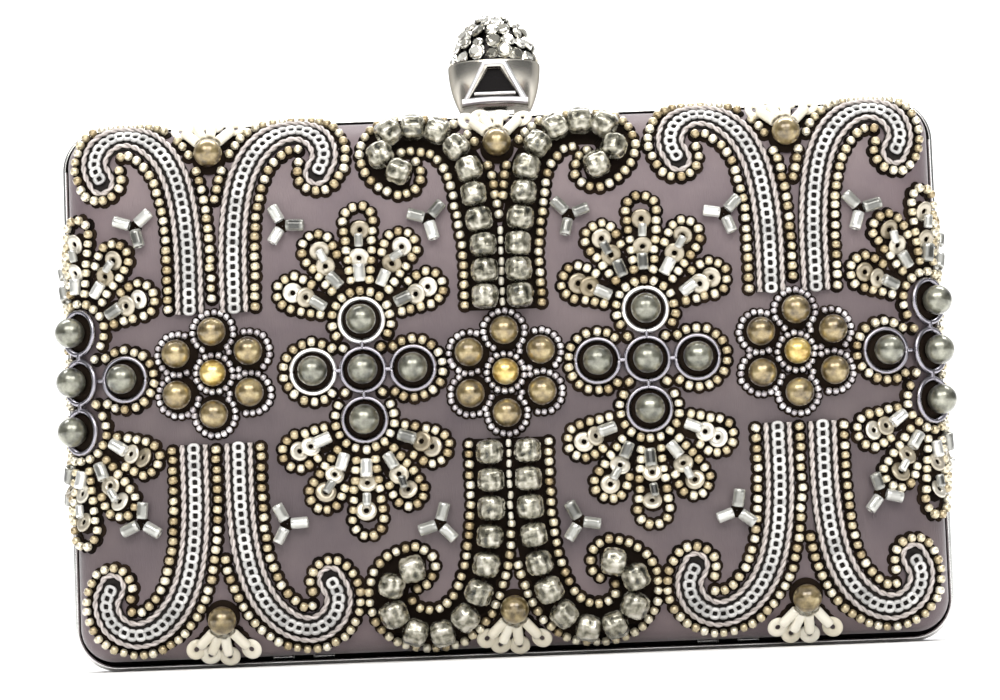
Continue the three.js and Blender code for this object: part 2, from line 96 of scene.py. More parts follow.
# Clasp: a bowl under a dome of stones, on a lug of the back frame, with a catch on the front one
CLASP_FOOT = PIVOT_Z + 0.1
CLASP_RIM = CLASP_FOOT + 9.8
CLASP_RADIUS = 9.9
CLASP_FOOT_RADIUS = 7.7
RIM_EASE_IN, RIM_EASE_DOWN = 0.12, 0.25
FITTING_LOW = 2 * MID_Z - FRAME_LIP / 2
CATCH_HALF = 4.0
CATCH_FRONT, CATCH_BACK = -4.1, -3.1
CATCH_CLEAR = 0.4
LUG_HALF = 2.5
LUG_RADIUS = 1.6
LUG_ROOM = np.array([3.0, 2.6, 2.6])
# Window of the bowl: width at its top and base, margin over the foot and under the rim, front and back
WINDOW_BOSS = (5.0, 14.2, 0.4, 0.7, -8.9, -4.0)
WINDOW_CUT = (2.8, 11.0, 1.6, 1.6, -12.0, -7.0)
# The window's floor is near-black: painted shade in the recess
WINDOW_FLOOR = (2.7, 10.9, 1.65, 1.65, -7.15, -6.9)
# Bars of the window: radius, then points across, from the parting plane, and up from the sill
SILL_RISE = 1.1
WINDOW_BARS = [
    (0.42, [(-2.2, -9.45, 7.8), (-6.3, -8.8, 0.0)]),
    (0.62, [(2.2, -9.45, 7.8), (6.3, -8.8, 0.0)]),
    (0.45, [(-2.3, -9.5, 7.8), (0.0, -9.6, 7.95), (2.3, -9.5, 7.8)]),
    (0.72, [(-6.9, -8.5, -0.3), (-3.5, -8.95, 0.0), (0.0, -9.0, 0.1), (3.5, -8.95, 0.0), (6.9, -8.5, -0.3)]),
    (0.42, [(-4.4, -7.3, 1.7), (4.4, -7.3, 1.7)]),
]
# Stones: degrees of each row from the top and its count, then how far a stone may be from regular
DOME_SIZE = np.array([8.6, 8.6, 10.4])
STONE_ROWS = [(0, 1), (17, 5), (34, 10), (51, 14), (67, 16), (82, 17)]
STONE_TILT = 4.5
STONE_SHIFT = 0.2
STONE_LEAN = 24.0
STONE_SIZES = (0.8, 1.25)
STONE_SEAT = 0.1
STONE_SUNK = 0.55

# Beadwork layout, in lengths over the satin: u across from the middle, v up from the panel's middle
Column = namedtuple("Column", "name u rise flower braided")
COLUMNS = [
    Column("left", -60.0, 2.0, 3.0, True),
    Column("middle", 0.0, 1.0, 1.0, False),
    Column("right", 60.0, 2.0, 3.0, True),
]
PALMETTES = [("left", -29.3), ("right", 29.3)]
EDGES = [("left", -88.8, 1), ("right", 88.8, -1)]
PALMETTE_RISE = 2.6
PETAL_RADIUS = 8.5
CROSS_ARM = 10.3
CROSS = [("centre", 0, 0), ("left", -1, 0), ("right", 1, 0), ("top", 0, 1), ("bottom", 0, -1)]
BRIGHT_RINGS = {("left", "top"), ("left", "left"), ("right", "top")}
SINGLE_RISE = 0.6
SINGLE_HEIGHT = 47.6
QUARTERS = [("upper_left", -1, 1), ("upper_right", 1, 1), ("lower_left", -1, -1), ("lower_right", 1, -1)]
# One scroll, from the flower to the end of its curl: across from its column, up from the column's middle
BRAID_SCROLL = [
    (4.6, 13.5), (4.7, 28.0), (5.6, 36.5), (7.2, 42.5), (10.0, 47.5),
    (14.5, 51.3), (19.0, 52.0), (22.8, 49.5), (24.0, 45.5), (22.5, 42.0),
]
UPPER_STRING = [
    (3.7, 13.0), (3.6, 26.0), (5.2, 36.8), (6.0, 42.0), (8.3, 46.4), (12.0, 50.0),
    (17.5, 51.2), (22.4, 50.3), (24.4, 46.4), (22.9, 43.5), (20.5, 42.0), (18.0, 41.2),
]
LOWER_STRING = [
    (3.9, 13.5), (4.0, 28.0), (5.3, 38.5), (7.0, 44.0), (9.5, 48.6), (13.8, 51.9),
    (19.4, 52.2), (24.0, 49.4), (25.4, 44.6), (24.0, 40.9), (20.3, 39.3), (17.8, 39.2),
]

# Pearls: radius, dark round of painted shade under each, and circle of small seeds
SEAT = 0.35
PEARL_RADIUS = {"petal": 2.95, "heart": 2.75, "single": 2.95, "grey": 3.1}
SHADE_ROUND_RADIUS = {"petal": 4.2, "heart": 3.8, "single": 3.5}
FLOWER_SEEDS = {"petal": 4.2, "heart": 3.85}
RING_RADIUS = 4.45
RING_WIRE = 0.55
RING_LIFT = SEAT + RING_WIRE + 0.1
LINK_LIFT = SEAT + RING_WIRE + 0.15

# Braid: a row of chain stitches with a cord of two plies round it, on a dark backing that also paints the
# shade between the links
BRAID_SEAT = 0.5
BACKING_HALF = 3.1
CHAIN_PITCH = 1.74
PLY_TURNS = 0.26

# Strings: crinkled beads on a thread, over a dark strip that paints the shade round them
STRING_BEAD = 2.65
STRING_COUNT = 12
NUGGET_RADIUS = STRING_BEAD + 0.25
NUGGET_LENGTH = 5.3

# Sewn beads: how far off the scrolls and pearls they run, and how far round the ends of the front
SEED_PITCH = 2.08
PALE_RUN = (13.5, 30.5)
BRAID_BORDER, STRING_BORDER = 4.5, 4.3
RINGED_BORDER = RING_RADIUS + RING_WIRE + 1.1
RINGED_CLEAR = RINGED_BORDER - 0.1
SEWN_REACH = 99.0

# Fans of petals over and under each cross: angle from upright, length from the pearl, half width
FAN_PETALS = [(0, 23.8, 3.2), (30, 20.4, 3.3), (-30, 20.4, 3.3), (66, 18.4, 3.5), (-66, 18.4, 3.5)]
PETAL_BASE, PETAL_BASE_HALF = 7.2, 1.9
PETAL_STITCH_START, PETAL_STITCH_PITCH = 7.5, 2.2
# Furthest that a petal leans out at the two ends, in degrees: others would run under the frame
OUTWARD_LEAN = 45
# What fills a petal, by its distance from the pearl
FAN_FILL = {
    0: [("bugle", 9.9), ("sequin", 13.0), ("short_bugle", 16.4), ("sequin", 18.7)],
    30: [("bugle", 9.9), ("sequin", 13.2), ("short_bugle", 15.4), ("sequin", 17.0)],
    66: [("bugle", 9.5), ("sequin", 12.3), ("sequin", 15.0)],
}
# Bugles in threes on the bare satin: u, v, and the turn of the first
TRIPLETS = [
    (-75.7, 34.2, 45), (-45.0, 33.2, 0), (-14.8, 33.4, 45),
    (14.3, 33.1, 15), (46.4, 32.2, 50), (74.5, 32.2, 15),
    (-75.8, -27.2, 85), (-46.0, -28.4, 0), (-14.7, -29.6, 75),
    (14.0, -30.1, -5), (46.4, -29.2, 85), (76.2, -26.8, -10),
]
TRIPLET_REACH = 2.65
# What fans out from each single pearl towards the frame, by its distance from the pearl
FOOT_ANGLES = [-41, -20, 5, 37]
FOOT_FILL = {"foot_bugle": [5.5], "knot_and_shade": [4.4, 6.0, 7.6], "foot_sequin": [9.0]}


# Surface of the front

SLOPE_STEP = 0.2


def swell(share):
    return (1 - (1 - np.clip(share, 0, 1)) ** FULLNESS) ** (1 / FULLNESS)


def face_depth(inset):
    """Depth of the satin face from the parting plane, at a distance in from its edge."""
    return MOUTH + STRAIGHT + DOME * swell(inset / HALF_Z)


def corner_at(inset):
    return np.minimum(CORNER + CORNER_GROWTH * inset, HALF_Z - inset - FLAT_MIDDLE)


def line_lengths(line):
    return np.concatenate([[0], np.cumsum(np.linalg.norm(np.diff(line, axis=0), axis=1))])


PROFILE_INSET = HALF_Z * np.linspace(1, 0, 601) ** 3
PROFILE_LENGTH = line_lengths(np.stack([PROFILE_INSET, face_depth(PROFILE_INSET)], 1))


def inset_of(x, z):
    """How far in from the edge points lie, by halving the range that holds them."""
    low = np.zeros_like(x)
    high = np.full_like(x, HALF_Z - 2 * FLAT_MIDDLE)
    for _ in range(30):
        middle = (low + high) / 2
        corner = corner_at(middle)
        over_x = np.abs(x) - (HALF_X - middle - corner)
        over_z = np.abs(z) - (HALF_Z - middle - corner)
        rounded = (over_x > 0) & (over_z > 0)
        reach = np.where(rounded, np.hypot(over_x, over_z), np.maximum(over_x, over_z))
        inside = reach <= corner
        low = np.where(inside, middle, low)
        high = np.where(inside, high, middle)
    return low


def face_points(places):
    """Points of the front face from lengths measured over the satin."""
    u, v = places.T
    along_x = np.maximum(0, np.abs(u) - (HALF_X - HALF_Z))
    along_z = np.abs(v)
    inset_x, inset_z = (np.interp(along, PROFILE_LENGTH, PROFILE_INSET) for along in (along_x, along_z))
    x = np.sign(u) * np.minimum(np.abs(u), HALF_X - inset_x)
    z = np.sign(v) * (HALF_Z - inset_z)
    over_edge = np.maximum(along_x, along_z) - PROFILE_LENGTH[-1]
    depth = np.where(over_edge > 0, MOUTH + STRAIGHT - over_edge, face_depth(inset_of(x, z)))
    return np.stack([x, PART_Y - depth, MID_Z + z], 1)


def unit(vectors):
    return vectors / np.linalg.norm(vectors, axis=-1, keepdims=True)


def face_change(places, step):
    return face_points(places + step) - face_points(places - step)


def seated(rows, height):
    """Centres, thread directions and outward directions of beads at rows of (u, v, du, dv)."""
    places, heading = np.hsplit(np.asarray(rows, float), 2)
    out = unit(np.cross(face_change(places, [SLOPE_STEP, 0]), face_change(places, [0, SLOPE_STEP])))
    along = face_change(places, SLOPE_STEP * heading)
    along = along - np.sum(along * out, axis=1, keepdims=True) * out
    return face_points(places) + height * out, unit(along), out


# Lines over the satin

def polar(degrees, reach=1.0):
    turn = math.radians(degrees)
    return reach * np.array([math.cos(turn), math.sin(turn)])


def sewn_row(place, degrees):
    """Row of (u, v, du, dv) for a bead at a place with its thread at an angle."""
    return [*place, *polar(degrees)]


def left_of(heading):
    return np.stack([-heading[..., 1], heading[..., 0]], -1)


def smooth_line(points):
    """Centripetal curve through points of (u, v), the one that the solids follow."""
    points = np.array(points, float)
    spread = np.vstack([2 * points[0] - points[1], points, 2 * points[-1] - points[-2]])
    share = np.linspace(0, 1, 24, endpoint=False)[:, None]
    square, cube = share ** 2, share ** 3
    pieces = []
    for a, b, c, d in zip(spread, spread[1:], spread[2:], spread[3:]):
        before, here, after = (math.sqrt(np.linalg.norm(q - p)) for p, q in ((a, b), (b, c), (c, d)))
        leave = here * ((b - a) / before - (c - a) / (before + here) + (c - b) / here)
        arrive = here * ((c - b) / here - (d - b) / (here + after) + (d - c) / after)
        start = (2 * cube - 3 * square + 1) * b + (cube - 2 * square + share) * leave
        end = (3 * square - 2 * cube) * c + (cube - square) * arrive
        pieces.append(start + end)
    return np.vstack([*pieces, points[-1:]])


def at_lengths(line, lengths):
    """Rows of (u, v, du, dv) at lengths along a line."""
    run = line_lengths(line)
    reach = 0.3
    here, ahead, behind = (np.stack([np.interp(lengths + step, run, side) for side in line.T], 1)
                           for step in (0, reach, -reach))
    return np.hstack([here, unit(ahead - behind)])


def shared_out(line, count):
    """Rows in the middles of equal stretches of a line."""
    return at_lengths(line, (np.arange(count) + 0.5) * line_lengths(line)[-1] / count)


def spaced(line, pitch):
    return shared_out(line, max(1, round(line_lengths(line)[-1] / pitch)))


def shortened(line, cut):
    run = line_lengths(line)
    return line[run <= run[-1] - cut]


def beside(line, distance):
    return line + distance * left_of(unit(np.gradient(line, axis=0)))


def border(line, distance):
    """Line round a band: out along one side, round its end and back along the other."""
    heading = unit(line[-1] - line[-2])
    turn = np.linspace(math.pi / 2, -math.pi / 2, 15)[1:-1, None]
    cap = line[-1] + distance * (np.sin(turn) * left_of(heading) + np.cos(turn) * heading)
    return np.vstack([beside(line, distance), cap, beside(line, -distance)[::-1]])


def distance_to(places, line):
    return np.linalg.norm(places[:, None, :2] - np.asarray(line)[None, :, :2], axis=2).min(axis=1)


def thinned(rows, spacing):
    """Rows in order, without those that come closer than a spacing to one already kept."""
    kept = rows[:1]
    for row in rows[1:]:
        if distance_to(row[None], kept)[0] >= spacing:
            kept = np.vstack([kept, row])
    return kept


# Meshes

Part = namedtuple("Part", "points faces slot tone", defaults=(0, 0.5))


def turns(count):
    return np.arange(count) * 2 * math.pi / count


def circle(radius, turn):
    return radius * np.stack([np.cos(turn), np.sin(turn)], 1)


def level_ring(radius, height, turn):
    return np.column_stack([circle(radius, turn), np.full(len(turn), height)])


def ring_quads(rings):
    """Points of rings, and quads from each ring to the next; those from the last to the first come last."""
    rings = np.asarray(rings)
    here = np.arange(rings.size // 3).reshape(rings.shape[:2])
    ahead = np.roll(here, -1, axis=0)
    quads = np.stack([here, np.roll(here, -1, axis=1), np.roll(ahead, -1, axis=1), ahead], -1)
    return rings.reshape(-1, 3), quads.reshape(-1, 4)


def closed(rings):
    """Skin through rings and on from the last to the first, facing out."""
    points, quads = ring_quads(rings)
    a, b, c, d = points[quads].swapaxes(0, 1)
    volume = np.sum(a * np.cross(b, c)) + np.sum(a * np.cross(c, d))
    return points, quads if volume > 0 else quads[:, ::-1]


def lofted(rings):
    """Skin through rings, with a flat cap on the first and the last, facing out."""
    points, quads = ring_quads(rings)
    count = len(rings[0])
    quads = quads[:-count]
    order = list(range(len(points)))
    faces = [*quads.tolist(), order[:count][::-1], order[-count:]]
    a, b, c, d = points[quads].swapaxes(0, 1)
    outward = (a + b + c + d) / 4 - points.mean(axis=0)
    inside_out = np.sum(np.cross(b - a, d - a) * outward) < 0
    return points, [face[::-1] for face in faces] if inside_out else faces


def turned(profile, sides, ripple=None):
    """Solid of revolution about X, from a closed loop of (along, radius) that stays off the axis."""
    profile = np.array(profile, float)
    angle = turns(sides)
    radius = profile[:, 1:] * np.ones(sides)
    if ripple is not None:
        radius = radius * ripple(profile[:, :1], angle)
    along = np.repeat(profile[:, :1], sides, axis=1)
    return closed(np.stack([along, radius * np.cos(angle), radius * np.sin(angle)], -1))


def laid_flat(points, faces):
    """Shape about X turned to lie in the XY plane."""
    return points[:, [1, 2, 0]], faces


def ring_of(path, wire, sides):
    """Wire round a closed path in the XY plane; wire is its radius at each point."""
    across = left_of(unit(np.roll(path, -1, axis=0) - np.roll(path, 1, axis=0)))
    angle = turns(sides)
    wire = wire[:, None]
    flat = path[:, None, :] + (wire * np.cos(angle))[..., None] * across[:, None, :]
    return closed(np.concatenate([flat, (wire * np.sin(angle))[..., None]], -1))


def bar(path, across, up, radius, sides):
    """Round bar along points, from the directions across it and up at each."""
    turn = turns(sides)[:, None]
    return lofted(path[:, None] + radius * (np.cos(turn) * across[:, None] + np.sin(turn) * up[:, None]))


def copies(shape, centres, along, out, scale=1.0):
    """Copies of a shape, each with its X along the thread and its Z out of the cloth."""
    points, faces = shape
    axes = np.stack([along, np.cross(out, along), out], 1)
    scale = np.broadcast_to(scale, len(centres))[:, None, None]
    placed = centres[:, None, :] + scale * np.einsum("pk,nkc->npc", points, axes)
    shift = np.arange(len(centres))[:, None, None] * len(points)
    return placed.reshape(-1, 3), (faces + shift).reshape(-1, 4).tolist()


def sewn_on(shape, rows, height, slot=0, tone=0.5, scale=1.0):
    """Part made of copies of a shape at rows, at a height over the satin."""
    return Part(*copies(shape, *seated(rows, height), scale), slot, tone)


def tones(count, points_each, low=0.0, high=1.0):
    return np.repeat(rng.uniform(low, high, count), points_each)


def link_object(name, data):
    made = bpy.data.objects.new(name, data)
    bpy.context.scene.collection.objects.link(made)
    return made


def add_piece(name, parts, materials, body, replaced=(), crease=None):
    """One mesh object from parts, riding on a body and replacing solids."""
    points, faces, slots, tone = [], [], [], []
    for part in parts:
        shift = len(points)
        points += (part.points * MM).tolist()
        faces += [[corner + shift for corner in face] for face in part.faces]
        slots += np.broadcast_to(part.slot, len(part.faces)).tolist()
        tone += np.broadcast_to(part.tone, len(part.points)).tolist()
    mesh = bpy.data.meshes.new(name)
    mesh.from_pydata(points, [], faces)
    mesh.polygons.foreach_set("material_index", slots)
    mesh.polygons.foreach_set("use_smooth", [crease != 0] * len(faces))
    mesh.attributes.new("tone", "FLOAT", "POINT").data.foreach_set("value", tone)
    if crease:
        mesh.set_sharp_from_angle(angle=math.radians(crease))
    for material in materials:
        mesh.materials.append(material)
    piece = link_object(name, mesh)
    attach(piece, body)
    if replaced:
        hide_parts(*replaced)
    return piece


# Materials

class Look:
    """Material with one principled shader, and short ways to add nodes to it."""

    def __init__(self, name, color, roughness, metallic=0.0, **sockets):
        self.material = bpy.data.materials.new(name)
        self.material.use_nodes = True
        self.tree = self.material.node_tree
        self.set(base_color=(*color, 1), roughness=roughness, metallic=metallic, **sockets)

    def set(self, **sockets):
        """Gives the shader's sockets values, or outputs of other nodes."""
        titles = [socket.replace("_", " ").title().replace("Ior", "IOR") for socket in sockets]
        self.fill(self.tree.nodes["Principled BSDF"], dict(zip(titles, sockets.values())))

    def fill(self, node, inputs):
        for key, value in inputs.items():
            if isinstance(value, bpy.types.NodeSocket):
                self.tree.links.new(value, node.inputs[key])
            else:
                node.inputs[key].default_value = value

    def node(self, kind, inputs, output=0, **settings):
        """Adds a node and gives one of its outputs."""
        node = self.tree.nodes.new(f"ShaderNode{kind}")
        for key, value in settings.items():
            setattr(node, key, value)
        self.fill(node, inputs)
        return node.outputs[output]

    def place(self):
        return self.node("TexCoord", {}, "Object")

    def tone(self):
        return self.node("Attribute", {}, "Fac", attribute_name="tone")

    def noise(self, scale, detail, stretch=(1, 1, 1)):
        """Noise over the object's own coordinates; scale counts features in a metre."""
        mapped = self.node("Mapping", {"Vector": self.place(), "Scale": stretch})
        return self.node("TexNoise", {"Vector": mapped, "Scale": scale, "Detail": detail})

    def worked(self, operation, *values, kind="Math"):
        return self.node(kind, dict(enumerate(values)), operation=operation)

    def span(self, value, low, high):
        return self.node("MapRange", {"Value": value, "To Min": low, "To Max": high})

    def ramp(self, factor, stops, interpolation="LINEAR"):
        color = self.node("ValToRGB", {"Fac": factor})
        ramp = color.node.color_ramp
        ramp.interpolation = interpolation
        while len(ramp.elements) < len(stops):
            ramp.elements.new(0.5)
        for element, (position, shade) in zip(ramp.elements, stops):
            element.position = position
            element.color = (*shade, 1)
        return color

    def bump(self, height, strength, distance_mm):
        return self.node("Bump", {"Height": height, "Strength": strength, "Distance": distance_mm * MM})


# Painted light on the satin: how pale it is painted by its height, as a share of the case's, with painted
# shade over the lower middle and painted sheen towards the top
SATIN_PAINTED_LIGHT = [(0.05, 1.0), (0.21, 0.64), (0.43, 0.60), (0.56, 0.70), (0.69, 0.84), (0.84, 1.0)]


def satin_material():
    """Satin with painted light by its height: painted shade over the lower middle, palest along the top and
    bottom, where the padding turns to the light.
    """
    look = Look("satin", (0.16, 0.125, 0.13), 0.5,
                sheen_weight=0.25, sheen_roughness=0.4, specular_ior_level=0.4)
    mottle = look.noise(scale=70, detail=4)
    tint = look.ramp(mottle, [(0.3, (0.132, 0.099, 0.110)), (0.7, (0.196, 0.152, 0.157))])
    height = look.node("SeparateXYZ", {0: look.place()}, "Z")
    share = look.worked("DIVIDE", height, 2 * MID_Z * MM)
    # Painted light: the satin's colour is scaled by height, painted shade low down and painted sheen up top
    painted_light = look.ramp(share, [(place, (pale,) * 3) for place, pale in SATIN_PAINTED_LIGHT], "CARDINAL")
    threads = look.noise(scale=900, detail=2, stretch=(5, 5, 0.6))
    ripple = look.noise(scale=120, detail=2)
    look.set(base_color=look.worked("MULTIPLY", tint, painted_light, kind="VectorMath"),
             roughness=look.span(threads, 0.38, 0.62),
             normal=look.bump(look.worked("ADD", threads, ripple), strength=0.35, distance_mm=0.25))
    return look.material


def metal_material(name, color, roughness, **sockets):
    """Metal that is worn smoother and rougher in streaks."""
    look = Look(name, color, roughness, 1.0, **sockets)
    wear = look.noise(scale=260, detail=5, stretch=(0.3, 1, 1))
    look.set(roughness=look.span(wear, 0.6 * roughness, 1.6 * roughness))
    return look.material


def pearl_material(name, dark, light, accent):
    """Lacquered pearl: a mottled pearly base under a clear coat."""
    look = Look(name, light, 0.3, 0.7, coat_weight=1.0, coat_roughness=0.14, coat_ior=1.7)
    clouds = look.noise(scale=420, detail=4)
    look.set(base_color=look.ramp(clouds, [(0.32, dark), (0.52, light), (0.72, accent)]))
    return look.material


def bead_material(name, colors, roughness, metallic, middle=0.5, **sockets):
    """Small beads whose colour goes from dark to light by the tone kept on their points."""
    look = Look(name, colors[-1], roughness, metallic, **sockets)
    positions = [0.0, middle, 1.0] if len(colors) == 3 else [0.0, 1.0]
    look.set(base_color=look.ramp(look.tone(), list(zip(positions, colors))),
             normal=look.bump(look.noise(scale=1500, detail=2), strength=0.15, distance_mm=0.05))
    return look.material


def nugget_material():
    """Crinkled glass: bright and dark patches, darker in the flutes that the tone marks."""
    look = Look("champagne_bead", (0.6, 0.6, 0.5), 0.16, 0.6, coat_weight=0.8, coat_roughness=0.06)
    crinkle = look.noise(scale=620, detail=3)
    flute_share = 0.35
    mixed = look.worked("MULTIPLY_ADD", look.tone(), flute_share, crinkle)
    stops = [(0.46, (0.03, 0.03, 0.02)), (0.61, (0.165, 0.155, 0.112)), (0.76, (0.39, 0.37, 0.293)),
             (0.94, (0.65, 0.62, 0.535))]
    look.set(base_color=look.ramp(mixed, stops), normal=look.bump(crinkle, strength=0.5, distance_mm=0.5))
    return look.material


satin = satin_material()
silver = metal_material("silver_frame", (0.80, 0.79, 0.77), 0.2)
# Near-black metal that paints the shade in the crevice between frame and satin
crevice_painted_shade = metal_material("frame_crevice_painted_shade", (0.02, 0.018, 0.018), 0.6)
clasp_silver = metal_material("silver_clasp", (0.70, 0.66, 0.58), 0.2, specular_tint=(0.22, 0.21, 0.2, 1))
# Near-black metal that paints the shade in the clasp's window and between its stones
recess_painted_shade = metal_material("clasp_recess_painted_shade", (0.012, 0.011, 0.011), 0.25)
steel = metal_material("hinge_steel", (0.5, 0.49, 0.48), 0.3)
ring_white = metal_material("ring_bright", (0.97, 0.96, 0.97), 0.35)
ring_grey = metal_material("ring_grey", (0.36, 0.345, 0.385), 0.25)
bronze = pearl_material("bronze_pearl", (0.085, 0.058, 0.022), (0.29, 0.215, 0.09), (0.56, 0.45, 0.22))
golden = pearl_material("golden_pearl", (0.40, 0.24, 0.045), (0.76, 0.55, 0.15), (0.98, 0.85, 0.45))
grey = pearl_material("grey_pearl", (0.07, 0.07, 0.052), (0.21, 0.21, 0.16), (0.40, 0.40, 0.32))
champagne = nugget_material()
crystal = bead_material(
    "crystal", [(0.18, 0.17, 0.135), (0.60, 0.58, 0.51), (0.97, 0.95, 0.88)], 0.05, 0.85, coat_weight=1.0)
gold_bead = bead_material(
    "gold_seed", [(0.38, 0.29, 0.155), (0.66, 0.57, 0.38), (0.92, 0.87, 0.71)], 0.2, 0.5,
    middle=0.4, coat_weight=0.6)
silver_bead = bead_material(
    "silver_seed", [(0.46, 0.42, 0.44), (0.90, 0.87, 0.88)], 0.22, 0.5, coat_weight=0.6)
bugle_glass = bead_material(
    "bugle", [(0.025, 0.025, 0.022), (0.34, 0.34, 0.31), (0.80, 0.80, 0.77)], 0.14, 0.5, coat_weight=0.8)
sequin_pearl = bead_material("sequin", [(0.74, 0.68, 0.54), (0.95, 0.91, 0.79)], 0.3, 0.0, coat_weight=0.8)
fan_sequin = bead_material(
    "fan_sequin", [(0.26, 0.21, 0.13), (0.54, 0.49, 0.39), (0.80, 0.77, 0.69)], 0.22, 0.5, coat_weight=0.6)
chain_thread = bead_material("braid_chain", [(0.42, 0.415, 0.405), (0.72, 0.71, 0.69)], 0.36, 0.3)
cord_thread = bead_material("braid_cord", [(0.34, 0.30, 0.28), (0.66, 0.60, 0.57)], 0.42, 0.3)
# Dark backing of the braids, which also paints the shade between the links
braid_backing_and_shade = bead_material(
    "braid_backing_and_shade", [(0.012, 0.010, 0.009), (0.05, 0.045, 0.042)], 0.8, 0.0, specular_ior_level=0.1)
# Near-black thread; as discs and strips under the beads it also paints the shade between and round them
thread_and_painted_shade = bead_material(
    "thread_and_painted_shade", [(0.006, 0.004, 0.003), (0.022, 0.014, 0.009)], 0.85, 0.0, specular_ior_level=0.05)


# Case

def outline(inset, corner, depth, side, straight_steps=(44, 26), corner_steps=12):
    """Rounded rectangle round the case, at an inset from the shell's edge."""
    centre = np.array([HALF_X, HALF_Z]) - inset - corner
    arcs = []
    for quarter, signs in enumerate([(1, 1), (-1, 1), (-1, -1), (1, -1)]):
        angle = (math.pi / 2) * (quarter + np.arange(corner_steps + 1) / corner_steps)
        arcs.append(centre * signs + circle(corner, angle))
    runs = []
    for quarter, arc in enumerate(arcs):
        start, end = arc[-1], arcs[(quarter + 1) % 4][0]
        steps = straight_steps[quarter % 2]
        runs += [arc, start + (end - start) * (np.arange(1, steps) / steps)[:, None]]
    x, z = np.vstack(runs).T
    return np.stack([x, np.full(len(x), PART_Y + side * depth), MID_Z + z], 1)


def add_satin_half(name, side, body, node):
    """Moulded half covered in satin: the padded face, the rounded mouth and the hollow inside."""
    crowding = 2.2
    inner_reach = HALF_Z - SHELL_WALL
    rounded_wall = SHELL_WALL - EDGE_ROUND
    outer_insets = (HALF_Z - 2 * FLAT_MIDDLE) * np.linspace(1, 0, 40) ** crowding
    inner_insets = (inner_reach - 3 * FLAT_MIDDLE) * np.linspace(0, 1, 24) ** crowding
    sections = [(i, corner_at(i), face_depth(i)) for i in outer_insets]
    sections += [
        (0, CORNER, MOUTH + STRAIGHT / 2),
        (0, CORNER, MOUTH + EDGE_ROUND),
        (EDGE_ROUND, CORNER - EDGE_ROUND, MOUTH),
        (rounded_wall, CORNER - rounded_wall, MOUTH),
        (SHELL_WALL, CORNER - SHELL_WALL, MOUTH + EDGE_ROUND),
    ]
    for i in inner_insets:
        corner = np.minimum(corner_at(i) - SHELL_WALL, inner_reach - i - EDGE_ROUND)
        rise = (DOME - SHELL_WALL) * swell(i / inner_reach)
        sections.append((i + SHELL_WALL, corner, MOUTH + STRAIGHT + rise))
    skin = lofted([outline(*section, side) for section in sections])
    return add_piece(name, [Part(*skin)], [satin], body, [node], crease=50)


add_satin_half("satin_front", FRONT, "front", "front_shell")
add_satin_half("satin_back", BACK, "back", "back_shell")


def scratch_object(points, faces):
    mesh = bpy.data.meshes.new("scratch")
    mesh.from_pydata(points.tolist(), [], faces)
    return link_object("scratch", mesh)


def joined_or_cut(target, tools):
    """Applies (operation, points, faces) in turn to a scratch object, and gives its arrays."""
    for operation, points, faces in tools:
        tool = scratch_object(points, faces)
        modifier = target.modifiers.new("step", "BOOLEAN")
        modifier.operation = operation
        modifier.solver = "EXACT"
        modifier.object = tool
        graph = bpy.context.evaluated_depsgraph_get()
        result = bpy.data.meshes.new_from_object(target.evaluated_get(graph))
        target.modifiers.clear()
        target.data = result
        bpy.data.objects.remove(tool)
    points = np.array([vertex.co for vertex in target.data.vertices])
    faces = [list(polygon.vertices) for polygon in target.data.polygons]
    bpy.data.objects.remove(target)
    return points, faces


def rod(radius, start, end, y, z):
    """Round rod along X."""
    ring = level_ring(radius, 0, turns(28))[:, [2, 0, 1]] + [0, y, z]
    return lofted([ring + [x, 0, 0] for x in (start, end)])


def block(low, high):
    (x0, y0, z0), (x1, y1, z1) = low, high
    base = [(x0, y0), (x1, y0), (x1, y1), (x0, y1)]
    return lofted([[(x, y, z) for x, y in base] for z in (z0, z1)])


def frame_section():
    """L-section of a frame as (inset, depth): a bevel at the parting line, a rolled lip and a flange."""
    roll = FRAME_LIP / 2
    lip = circle(roll, np.linspace(math.pi, 0, 9)) + [FRAME_RIM + roll, FRAME_LIP_DEPTH - roll]
    bevel_end = FRAME_SEAM + FRAME_BEVEL_DEPTH
    flange_front = FRAME_SEAM + FRAME_FLANGE
    return [
        (FRAME_RIM + FRAME_BEVEL, FRAME_SEAM),
        *[(FRAME_RIM + inset, bevel_end + depth) for inset, depth in BEVEL_EASE],
        *lip,
        (FRAME_RIM + FRAME_LIP, flange_front),
        (FRAME_REACH, flange_front),
        (FRAME_REACH, FRAME_SEAM),
    ]


def painted_shade_faces(points, faces, side):
    """Which faces get painted shade: those between the lip and the satin, and at the top the lip's inner
    half.
    """
    x, y, z = np.array([points[face].mean(axis=0) for face in faces]).T
    over_x = np.abs(x) - (HALF_X - CORNER)
    over_z = np.abs(z - MID_Z) - (HALF_Z - CORNER)
    outside = np.hypot(np.maximum(over_x, 0), np.maximum(over_z, 0))
    beyond = outside + np.minimum(np.maximum(over_x, over_z), 0) - CORNER
    bright_lip = FRAME_LIP * np.where(z - MID_Z > HALF_Z - CORNER, BRIGHT_LIP_TOP, BRIGHT_LIP)
    past_flange = side * (y - PART_Y) > FRAME_SEAM + BRIGHT_FLANGE * FRAME_FLANGE
    return (beyond < -(FRAME_RIM + bright_lip)) & past_flange


def hinge_rods(operation, radius, spans):
    return [(operation, *rod(radius, *span, PART_Y, HINGE_Z)) for span in spans]


